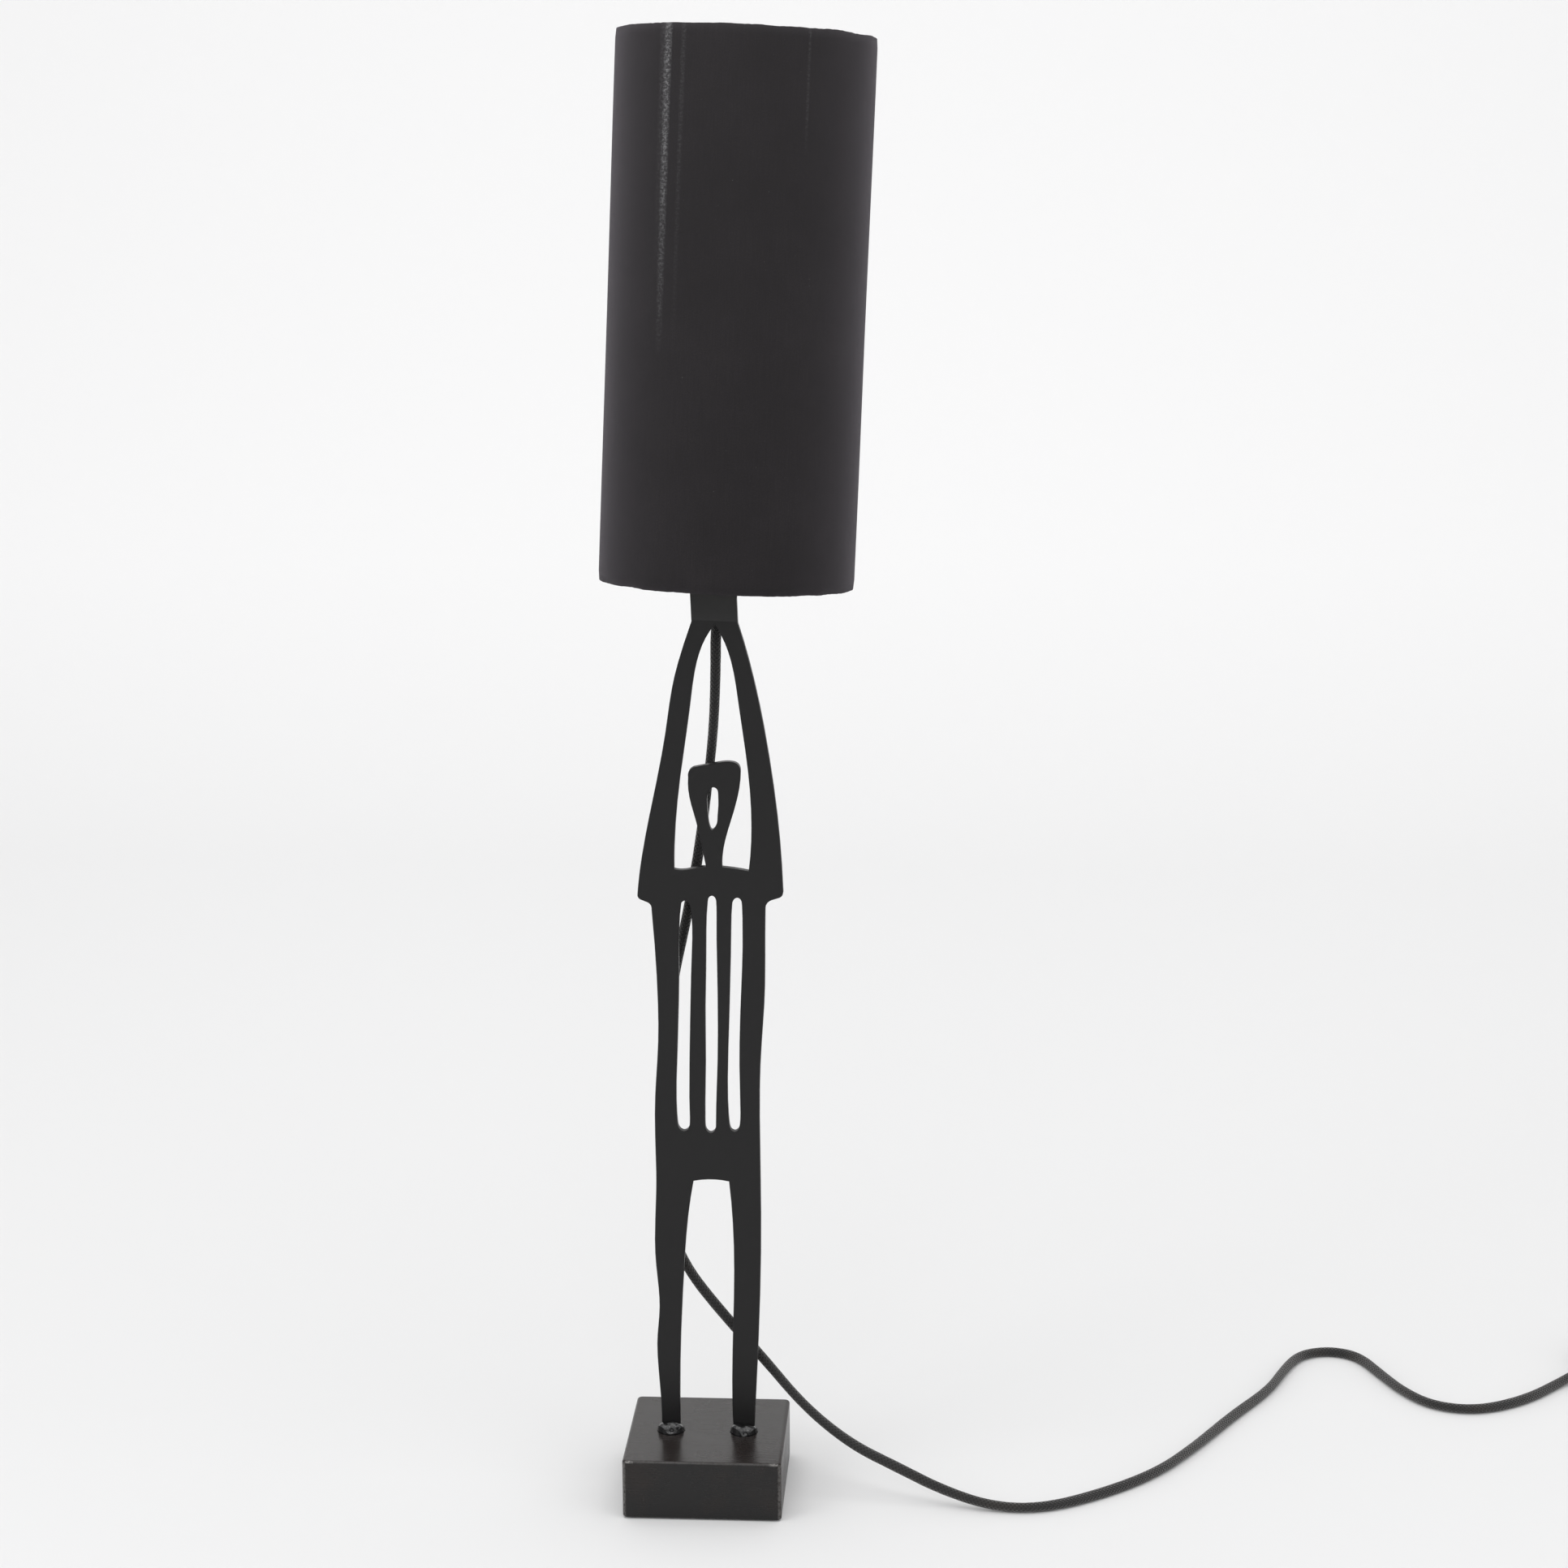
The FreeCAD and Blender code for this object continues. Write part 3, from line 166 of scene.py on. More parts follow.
def plain(name, colour, roughness, metallic=0.0, grain=900.0, depth=0.00002, change=0.12):
    """A simple finish with a fine grain and a slight change of shine."""
    s = Shader(name, colour, roughness, metallic)
    where = s.coordinates()
    fine = s.noise(where, grain)
    broad = s.noise(where, grain / 30)
    shine = s.span(broad, roughness * (1 - change), min(roughness * (1 + change), 1))
    return s.join(Roughness=shine, Normal=s.bump(fine, 0.5, depth))


def lacquer(name, colour, roughness, peel=420.0):
    """Black lacquer sprayed on plate: faint orange peel, fine dust, and handling marks."""
    s = Shader(name, colour, roughness)
    s.set(Specular_IOR_Level=0.30)
    where = s.coordinates()
    peel_height = s.noise(where, peel, 3.0, 0.55)
    speck = s.noise(where, 2600.0, 2.0, 0.5)
    broad = s.noise(where, 14.0, 5.0, 0.6)
    dust = s.mask(speck, 0.70, 0.78)
    # painted light: the tab, which leans back above the bend, is painted lighter, standing in for the light its
    # slant catches
    x, _, z = s.node("SeparateXYZ", Vector=where).outputs
    level = s.maths("ADD", z, s.maths("MULTIPLY", s.maths("SUBTRACT", x, BEND_X), AXIS.x / AXIS.z))
    tab = s.span(level, 0.0, 1.0, BEND_Z + 0.0004, BEND_Z + 0.0012)
    tab_painted_lighter = s.mix(tab, colour, TAB_PAINTED_LIGHT)
    tint = s.mix(s.maths("MULTIPLY", dust, 0.18), tab_painted_lighter, tuple(min(c * 7, 1) for c in colour))
    shine = s.span(broad, roughness - 0.05, roughness + 0.07, 0.3, 0.7)
    return s.join(Base_Color=tint, Roughness=shine, Normal=s.bump(peel_height, 0.35, 0.00006))


def base_lacquer():
    """Thin black lacquer over a ground block.

    It has fine lines across, brown clouds, and edges worn bright at two corners.
    """
    black, brown = (0.0088, 0.0082, 0.0082), (0.021, 0.0135, 0.0105)
    s = Shader("base_lacquer", black, 0.27)
    s.set(Specular_IOR_Level=0.36)
    where = s.coordinates()
    x, y, z = s.node("SeparateXYZ", Vector=where).outputs
    lines = s.noise(s.coordinates(scale=(16.0, 820.0, 820.0)), 1.0, 3.0, 0.7)
    fine = s.noise(s.coordinates(scale=(60.0, 2600.0, 2600.0)), 1.0, 2.0, 0.5)
    clouds = s.noise(where, 22.0, 6.0, 0.65, 0.4)
    patches = s.span(s.noise(where, 31.0, 3.0, 0.6), 0.0, 0.75, 0.50, 0.72)
    # the right side is rubbed browner, mostly high up
    side = s.maths("MULTIPLY", s.span(x, 0.0, 1.0, BASE_HALF - 0.0022, BASE_HALF - 0.0004),
                   s.span(z, 0.25, 1.0, 0.006, 0.036))
    rubbing = s.noise(s.coordinates(scale=(1, 0.5, 1.6)), 60.0, 6.0, 0.7, 0.8)
    rubbed = s.maths("MULTIPLY", side, s.span(rubbing, 0.0, 1.0, 0.42, 0.62))
    top = s.span(z, 0.0, 1.0, BASE_TOP - 0.0009, BASE_TOP - 0.0001)
    tint = s.mix(s.maths("MULTIPLY", patches, 0.55), black, brown)
    # the top face is tinted lighter and browner: partly its own brown tone, partly painted light from above
    tint = s.mix(s.maths("MULTIPLY", top, 0.6), tint, (0.022, 0.0165, 0.0150))
    tint = s.mix(s.maths("MULTIPLY", rubbed, 0.8), tint, (0.030, 0.0215, 0.0175))
    scuffs = s.mask(s.noise(s.coordinates(scale=(1, 1, 3)), 70.0, 8.0, 0.72, 1.2), 0.66, 0.73)
    tint = s.mix(s.maths("MULTIPLY", scuffs, 0.08), tint, (0.09, 0.085, 0.08))
    # bright wear along the front's upper edge near both corners, and faint wear on the rest of the edges
    chipped = s.span(s.noise(where, 520.0, 4.0, 0.7, 0.5), 0.0, 1.0, 0.36, 0.55)
    crest = BASE_TOP + BASE_HALF                       # z less y along the front's upper edge
    front = s.span(s.maths("SUBTRACT", z, y), 0.0, 1.0, crest - 0.0016, crest - 0.0011)
    wide = s.maths("ABSOLUTE", x)
    ends = s.span(wide, 0.0, 1.0, BASE_HALF - 0.0085, BASE_HALF - 0.0030)
    upright = s.span(s.maths("SUBTRACT", wide, y), 0.0, 0.35, 2 * BASE_HALF - 0.0026, 2 * BASE_HALF - 0.0020)
    worn = s.maths("ADD", s.maths("MULTIPLY", front, s.maths("ADD", ends, 0.10)), upright)
    worn = s.maths("MULTIPLY", worn, chipped)
    tint = s.mix(s.maths("MINIMUM", worn, 0.9), tint, (0.26, 0.25, 0.24))
    shine = s.maths("ADD", s.span(clouds, 0.20, 0.31, 0.3, 0.7), s.span(lines, -0.03, 0.04, 0.3, 0.7))
    normal = s.bump(fine, 0.22, 0.00002, s.bump(lines, 0.30, 0.00003))
    level = s.maths("SUBTRACT", s.maths("ADD", s.maths("MULTIPLY", top, 0.12), 0.34),
                    s.maths("MULTIPLY", s.span(x, 0.0, 1.0, BASE_HALF - 0.0030, BASE_HALF - 0.0004), 0.28))
    return s.join(Base_Color=tint, Roughness=shine, Normal=normal, Specular_IOR_Level=level)


def weld_lacquer():
    """Thick gloss lacquer pooled over a lumpy bead."""
    s = Shader("weld_lacquer", (0.006, 0.006, 0.0065), 0.12)
    s.set(Coat_Weight=0.6, Coat_Roughness=0.06)
    where = s.coordinates()
    ripple = s.noise(where, 420.0, 5.0, 0.6, 0.8)
    shine = s.span(s.noise(where, 160.0, 4.0, 0.6), 0.07, 0.28, 0.3, 0.7)
    return s.join(Roughness=shine, Normal=s.bump(ripple, 0.6, 0.0004))


def shade_cotton():
    """Matt black cotton over a stiff liner: fine weave, upright slubs, lint, worn streaks with a painted
    highlight, and painted light lightening the top.
    """
    colour = (0.0125, 0.0108, 0.012)
    s = Shader("shade_cotton", colour, 0.86)
    s.set(Specular_IOR_Level=0.25, Sheen_Weight=0.22, Sheen_Roughness=0.45, Sheen_Tint=(0.62, 0.56, 0.64, 1))
    uv = s.node("UVMap").outputs["UV"]                 # metres round and up
    split = s.node("SeparateXYZ", Vector=uv)
    round_way, height = split.outputs["X"], split.outputs["Y"]
    thread = 0.00034
    warp = s.maths("SINE", s.maths("MULTIPLY", round_way, 2 * math.pi / thread))
    weft = s.maths("SINE", s.maths("MULTIPLY", height, 2 * math.pi / (thread * 1.1)))
    weave = s.maths("MULTIPLY", warp, weft)
    stretched = s.node("Mapping", Vector=uv, Scale=(1.0, 0.03, 1.0)).outputs["Vector"]
    slubs = s.noise(stretched, 1400.0, 5.0, 0.65)
    grain = s.noise(uv, 1100.0, 5.0, 0.7)
    cloud = s.noise(uv, 16.0, 5.0, 0.6)
    tone = s.maths("ADD", s.maths("MULTIPLY", slubs, 0.22), s.maths("ADD", s.maths("MULTIPLY", grain, 0.45),
                                                                    s.maths("MULTIPLY", cloud, 0.33)))
    cloth = s.ramp(tone, [(0.38, (0.0096, 0.0083, 0.0090)), (0.5, colour), (0.62, (0.0178, 0.0155, 0.0170))])
    # painted light: the cloth is painted lighter towards the top, standing in for more light falling from above
    top_painted_lighter = s.span(height, 0.0, 0.22, 0.05, SHADE_HEIGHT)
    cloth = s.mix(top_painted_lighter, cloth, (0.030, 0.0275, 0.0290))
    # worn streaks, painted light grey as a painted highlight of their shine: how far round from the first, low
    # end, full by, half width, strength
    drift = s.maths("MULTIPLY", s.maths("SUBTRACT", s.noise(stretched, 55.0, 2.0, 0.5), 0.5), 0.0035)
    wider = s.node("Mapping", Vector=uv, Scale=(0.75, 1.0, 1.0)).outputs["Vector"]
    glint_flecks = s.mask(s.noise(wider, 620.0, 5.0, 0.8), 0.47, 0.60)
    first = (WORN_GLINT_AZIMUTH % (2 * math.pi)) * SHADE_RADIUS
    worn = None
    for round_by, low, full, half_width, strength in WORN_GLINT_STREAKS:
        away = s.maths("ABSOLUTE", s.maths("SUBTRACT", s.maths("ADD", round_way, drift), first + round_by))
        streak = s.maths("MULTIPLY", s.span(away, strength, 0.0, half_width * 0.25, half_width),
                         s.span(height, 0.0, 1.0, SHADE_HEIGHT - low, SHADE_HEIGHT - full))
        worn = streak if worn is None else s.maths("ADD", worn, streak)
    worn = s.maths("MULTIPLY", worn, s.maths("ADD", s.maths("MULTIPLY", glint_flecks, 0.85), 0.15))
    lint = s.mask(s.noise(uv, 900.0, 1.0, 0.4), 0.80, 0.84)
    # the streaks and their flecks are painted light grey: partly worn fibre, partly a painted highlight
    # standing in for their shine and glints
    tint = s.mix(worn, cloth, (0.23, 0.23, 0.235))
    tint = s.mix(s.maths("MULTIPLY", lint, 0.6), tint, (0.12, 0.12, 0.12))
    shine = s.maths("SUBTRACT", 0.86, s.maths("MULTIPLY", worn, 0.40))
    normal = s.bump(grain, 0.35, 0.00010, s.bump(weave, 0.5, 0.00005))
    return s.join(Base_Color=tint, Roughness=shine, Normal=normal)


def shade_lining():
    """Warm white plastic liner, lightly yellowed towards the top."""
    s = Shader("shade_lining", (0.80, 0.77, 0.70), 0.55)
    uv = s.node("UVMap").outputs["UV"]
    split = s.node("SeparateXYZ", Vector=uv)
    warm = s.span(split.outputs["Y"], 0.0, 1.0, 0.0, SHADE_HEIGHT)
    tint = s.mix(warm, (0.82, 0.80, 0.74), (0.78, 0.72, 0.60))
    fibre = s.noise(s.node("Mapping", Vector=uv, Scale=(1.0, 0.1, 1.0)).outputs["Vector"], 900.0, 4.0, 0.6)
    return s.join(Base_Color=tint, Normal=s.bump(fibre, 0.3, 0.00008))


def braid():
    """Black textile braid in its own UV: metres along and round, dyed slightly unevenly, with painted shade in
    its grooves and painted highlights on its strand crests.
    """
    colour = (0.011, 0.0105, 0.0105)
    s = Shader("cord_braid", colour, 0.72)
    s.set(Specular_IOR_Level=0.35, Sheen_Weight=0.45, Sheen_Roughness=0.4, Sheen_Tint=(0.8, 0.79, 0.78, 1))
    uv = s.node("UVMap").outputs["UV"]
    split = s.node("SeparateXYZ", Vector=uv)
    along, around = split.outputs["X"], split.outputs["Y"]
    pick = 0.0026
    left = s.maths("SINE", s.maths("MULTIPLY", s.maths("ADD", along, around), 2 * math.pi / pick))
    right = s.maths("SINE", s.maths("MULTIPLY", s.maths("SUBTRACT", along, around), 2 * math.pi / pick))
    strands = s.maths("MAXIMUM", left, right)
    fibre = s.noise(uv, 5200.0, 3.0, 0.6)
    patch = s.noise(uv, 26.0, 3.0, 0.6)
    # painted shade and highlight: the grooves are painted near-black and the strand crests lighter, standing in
    # for how light falls across the strands
    strand_crest_light = s.span(strands, 0.45, 1.25, -0.4, 1.0)
    dyed = s.mix(s.span(patch, 0.0, 1.0, 0.5, 0.78), colour, (0.026, 0.021, 0.017))
    groove_painted_shade = s.mix(strand_crest_light, (0.0035, 0.0035, 0.0035), dyed)
    tint = s.mix(s.maths("MULTIPLY", strand_crest_light, s.span(fibre, 0.0, 0.7, 0.42, 0.8)), groove_painted_shade, (0.075, 0.074, 0.074))
    normal = s.bump(fibre, 0.3, 0.00006, s.bump(strands, 0.9, 0.00030))
    return s.join(Base_Color=tint, Normal=normal)


def felt():
    """Black wool felt."""
    s = Shader("felt_wool", (0.014, 0.014, 0.014), 0.95)
    s.set(Sheen_Weight=0.5, Sheen_Roughness=0.6)
    where = s.coordinates()
    fuzz = s.noise(where, 2600.0, 6.0, 0.7)
    tint = s.mix(s.span(s.noise(where, 300.0), 0.0, 0.6, 0.45, 0.7), (0.010, 0.010, 0.010), (0.03, 0.03, 0.03))
    return s.join(Base_Color=tint, Normal=s.bump(fuzz, 0.8, 0.0002))


def clear_glass():
    """Clear blown glass with a faint ripple."""
    s = Shader("bulb_glass_clear", (1, 1, 1), 0.02)
    s.set(Transmission_Weight=1.0, IOR=1.46)
    ripple = s.noise(s.coordinates(), 60.0, 3.0, 0.5)
    return s.join(Normal=s.bump(ripple, 0.08, 0.0002))


def brushed(name, colour, roughness):
    """Bare or plated metal, drawn lines along Z."""
    s = Shader(name, colour, roughness, 1.0)
    lines = s.noise(s.coordinates(scale=(1400.0, 1400.0, 60.0)), 1.0, 3.0, 0.6)
    cloud = s.noise(s.coordinates(), 60.0, 4.0, 0.6)
    shine = s.span(cloud, roughness * 0.75, roughness * 1.3, 0.3, 0.7)
    return s.join(Roughness=shine, Normal=s.bump(lines, 0.3, 0.00003))


def thread_height(s, pitch):
    """Height of a right-hand screw thread round the holder's axis, from -1 to 1."""
    local = s.tree.nodes.new("ShaderNodeVectorMath")
    local.operation = "SUBTRACT"
    s.tree.links.new(s.coordinates(), local.inputs[0])
    local.inputs[1].default_value = FLANGE
    parts = []
    for side in ((1, 0, 0), (0, 1, 0), (0, 0, 1)):
        dot = s.tree.nodes.new("ShaderNodeVectorMath")
        dot.operation = "DOT_PRODUCT"
        s.tree.links.new(local.outputs["Vector"], dot.inputs[0])
        dot.inputs[1].default_value = STAND @ Vector(side)
        parts.append(dot.outputs["Value"])
    angle = s.maths("ARCTAN2", parts[1], parts[0])
    return s.maths("SINE", s.maths("SUBTRACT", s.maths("MULTIPLY", parts[2], 2 * math.pi / pitch), angle))


def threaded(name, colour, roughness, metallic, pitch, depth):
    """A finish with a screw thread round the holder's axis."""
    s = Shader(name, colour, roughness, metallic)
    fine = s.noise(s.coordinates(), 1100.0)
    shine = s.span(s.noise(s.coordinates(), 60.0), roughness * 0.85, roughness * 1.2, 0.3, 0.7)
    cut = s.bump(thread_height(s, pitch), 1.0, depth)
    return s.join(Roughness=shine, Normal=s.bump(fine, 0.3, 0.00002, cut))


def give(node, material):
    """Puts a material on a CAD node and smooths its faces."""
    mesh = NODES[node].data
    mesh.materials.clear()
    mesh.materials.append(material)
    mesh.polygons.foreach_set("use_smooth", [True] * len(mesh.polygons))


def new_object(name, mesh, body, slot, *materials):
    """A smooth piece of the scene, with its materials, that rides on a body. The slot argument is not used."""
    made = bpy.data.objects.new(name, mesh)
    bpy.context.scene.collection.objects.link(made)
    for material in materials:
        mesh.materials.append(material)
    mesh.polygons.foreach_set("use_smooth", [True] * len(mesh.polygons))
    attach(made, body)
    return made


def up_axis(x, y, z):
    """A point in the row frame from one given in the holder's frame, which starts at the flange."""
    return FLANGE + STAND @ Vector((x, y, z))


# ---- finishes of the CAD pieces ----

PLASTIC = plain("black_plastic", (0.012, 0.012, 0.012), 0.42, grain=1400.0)
ZINC = brushed("zinc_plate", ZINC_COLOUR, 0.34)
BRASS = brushed("plain_brass", BRASS_COLOUR, 0.28)
WIRE_ENAMEL = plain("white_enamel", (0.78, 0.77, 0.73), 0.38)

give("base_block", base_lacquer())
give("figure_plate", lacquer("plate_lacquer", (0.0060, 0.0057, 0.0060), 0.38))
give("felt_pad", felt())
for name in ("leg_studs", "stud_washers", "stud_nuts", "nipple_locknut", "switch_screws"):
    give(name, ZINC)
give("threaded_nipple", threaded("nipple_thread", ZINC_COLOUR, 0.34, 1.0, NIPPLE_PITCH, 0.0003))
for name in ("centre_contact", "terminal_screws"):
    give(name, BRASS)
give("lampholder_liner", threaded("liner_thread", BRASS_COLOUR, 0.28, 1.0, E27_PITCH, 0.0007))
HOLDER = plain("holder_thermoset", HOLDER_COLOUR, 0.36, grain=1100.0)
for name in ("lampholder_cap", "lower_shade_ring", "upper_shade_ring"):
    give(name, HOLDER)
give("lampholder_shell", threaded("shell_thread", HOLDER_COLOUR, 0.36, 0.0, SHELL_PITCH, 0.0006))
give("lampholder_insert", plain("porcelain_glaze", (0.80, 0.79, 0.74), 0.16, grain=500.0))
give("bulb_contact", plain("black_glass", (0.01, 0.01, 0.014), 0.15, grain=500.0))
give("bulb_cap", threaded("cap_thread", (0.66, 0.65, 0.62), 0.24, 1.0, E27_PITCH, 0.0008))
give("bulb_glass", clear_glass())
for name in ("shade_top_ring", "shade_lower_ring", "spider_plate", "spider_arms"):
    give(name, WIRE_ENAMEL)
for name in ("cord_strain_relief", "switch_base", "switch_cover", "switch_rocker", "plug_strain_relief",
             "plug_body"):
    give(name, PLASTIC)
give("plug_pins", brushed("nickel_pin", (0.70, 0.68, 0.63), 0.25))


# ---- weld beads ----

def ellipsoid(point, centre, radii):
    """Roughly how far a point lies outside an ellipsoid, in mm."""
    q = point - Vector(centre)
    near = Vector((q.x / radii[0], q.y / radii[1], q.z / radii[2])).length
    slope = Vector((q.x / radii[0] ** 2, q.y / radii[1] ** 2, q.z / radii[2] ** 2)).length
    return near * (near - 1) / max(slope, 1e-6)


def curl(point, centre, big, small):
    """How far a point lies outside a ring that faces the front."""
    q = point - Vector(centre)
    return math.hypot(math.hypot(q.x, q.z) - big, q.y) - small


def blend(a, b, soft):
    """Smooth minimum of two distances."""
    h = max(soft - abs(a - b), 0) / soft
    return min(a, b) - h * h * soft / 4


def foot_bead(name, foot_x, lumps, curls, drops):
    """Runny weld that fills the front of one foot's recess.

    Lumps and drops are ellipsoids (centre, radii) and curls are rings (centre, big and small radius),
    in mm from the recess's centre.
    """
    wall_gap, floor_gap = 0.15, 0.05
    lump_soft, curl_soft, drop_soft = 1.1, 0.35, 0.5
    depth_limit = (PLATE_FRONT - FOOT_Y) * 1000
    side_limit = RECESS_RADIUS * 1000 - wall_gap
    floor_limit = -RECESS_DEPTH * 1000 + floor_gap

    def outside(p):
        d = ellipsoid(p, *lumps[0])
        for centre, radii in lumps[1:]:
            d = blend(d, ellipsoid(p, centre, radii), lump_soft)
        for centre, big, small in curls:
            d = blend(d, curl(p, centre, big, small), curl_soft)
        for centre, radii in drops:
            d = blend(d, ellipsoid(p, centre, radii), drop_soft)
        d += 0.16 * noise.noise(p * 0.55) + 0.07 * noise.noise(p * 1.4)
        return max(d, p.y - depth_limit, math.hypot(p.x, p.y) - side_limit, floor_limit - p.z)

    bm = bmesh.new()
    bmesh.ops.create_icosphere(bm, subdivisions=6, radius=1.0)
    middle = Vector((0, -4.2, 0.2))
    halvings = 8
    for v in bm.verts:
        way = v.co.normalized()
        reach, step = 10.0, 0.25
        while reach > step and outside(middle + way * reach) > 0:
            reach -= step
        low, high = reach, reach + step
        for _ in range(halvings):
            half = (low + high) / 2
            if outside(middle + way * half) > 0:
                high = half
            else:
                low = half
        v.co = middle + way * low
    mesh = bpy.data.meshes.new(name)
    bm.to_mesh(mesh)
    bm.free()
    mesh.transform(Matrix.Translation((foot_x, FOOT_Y, BASE_TOP)) @ Matrix.Scale(0.001, 4))
    return new_object(name, mesh, "root", "weld_paint", WELD)


WELD = weld_lacquer()
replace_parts(foot_bead(
    "left_bead", FOOT_LEFT_X,
    [((-4.0, -3.6, 0.8), (4.7, 5.0, 5.3)), ((1.2, -3.2, 1.5), (5.4, 4.6, 5.5)),
     ((5.4, -3.0, 0.3), (3.4, 4.4, 4.6)), ((0.0, -5.0, -0.6), (7.6, 4.0, 2.8))],
    [((1.0, -7.5, 3.4), 1.05, 0.40)],
    [((4.3, -5.9, 4.2), (1.2, 1.1, 1.7)), ((-6.4, -5.4, 1.2), (1.6, 1.8, 2.0))]),
    "left_foot_weld")
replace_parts(foot_bead(
    "right_bead", FOOT_RIGHT_X,
    [((-3.6, -3.8, 0.9), (5.1, 5.1, 5.4)), ((2.6, -3.2, 0.9), (4.9, 4.5, 4.9)),
     ((6.0, -2.8, 0.3), (2.7, 4.2, 4.3)), ((0.0, -5.0, -0.8), (7.6, 3.9, 2.6))],
    [((1.6, -7.7, 1.8), 1.25, 0.42)],
    [((3.1, -7.5, -0.3), (0.9, 0.9, 1.5)), ((6.5, -5.0, 1.4), (1.3, 1.6, 1.5))]),
    "right_foot_weld")


# ---- inside the bulb ----

def rod(bm, points, radius, around=10):
    """A round wire along a few points."""
    rings = []
    for k, point in enumerate(points):
        way = (points[min(k + 1, len(points) - 1)] - points[max(k - 1, 0)]).normalized()
        first = way.orthogonal().normalized()
        if rings:
            first = (last - way * last.dot(way)).normalized()
        last = first
        second = way.cross(first)
        rings.append([bm.verts.new(point + (first * math.cos(t) + second * math.sin(t)) * radius)
                      for t in (2 * math.pi * i / around for i in range(around))])
    for near, far in zip(rings, rings[1:]):
        for i in range(around):
            j = (i + 1) % around
            bm.faces.new((near[i], near[j], far[j], far[i]))
    bm.faces.new(list(reversed(rings[0])))
    bm.faces.new(rings[-1])


def bulb_inside():
    """Glass stem, two leads and a zigzag filament on fine hooks."""
    stem_top, lead_out, lead_top = BULB_CAP_TOP + 0.026, 0.0085, BULB_CENTRE - 0.008
    stem_radius, tip_radius = 0.0032, 0.0011
    lead_radius, filament_radius, hook_radius = 0.00035, 0.00016, 0.0001
    glass = bmesh.new()
    stem_heights = (BULB_CAP_TOP - 0.004, BULB_CAP_TOP + 0.012, stem_top)
    rod(glass, [up_axis(0, 0, height) for height in stem_heights], stem_radius, 24)
    rod(glass, [up_axis(0, 0, stem_top), up_axis(0, 0, lead_top - 0.004)], tip_radius, 16)
    mesh = bpy.data.meshes.new("bulb_stem")
    glass.to_mesh(mesh)
    glass.free()
    new_object("bulb_stem", mesh, "bulb", "bulb_glass", clear_glass())
    wires = bmesh.new()
    for side in (-1, 1):
        rod(wires, [up_axis(side * 0.0016, 0, stem_top - 0.001), up_axis(side * 0.004, 0, stem_top + 0.008),
                    up_axis(side * lead_out, 0, lead_top)], lead_radius)
    peaks = 7
    zigzag = [up_axis(lead_out * (2 * k / (peaks - 1) - 1), 0.0025 * math.sin(math.pi * k / (peaks - 1)),
                      lead_top + (0.004 if k % 2 else 0.0)) for k in range(peaks)]
    rod(wires, zigzag, filament_radius, 6)
    for hook in zigzag[1:-1:2]:
        rod(wires, [up_axis(0, 0, lead_top - 0.005), hook], hook_radius, 6)
    mesh = bpy.data.meshes.new("bulb_wires")
    wires.to_mesh(mesh)
    wires.free()
    new_object("bulb_wires", mesh, "bulb", "bulb_metal", brushed("lead_wire", (0.55, 0.53, 0.50), 0.35))


bulb_inside()


# ---- shade ----

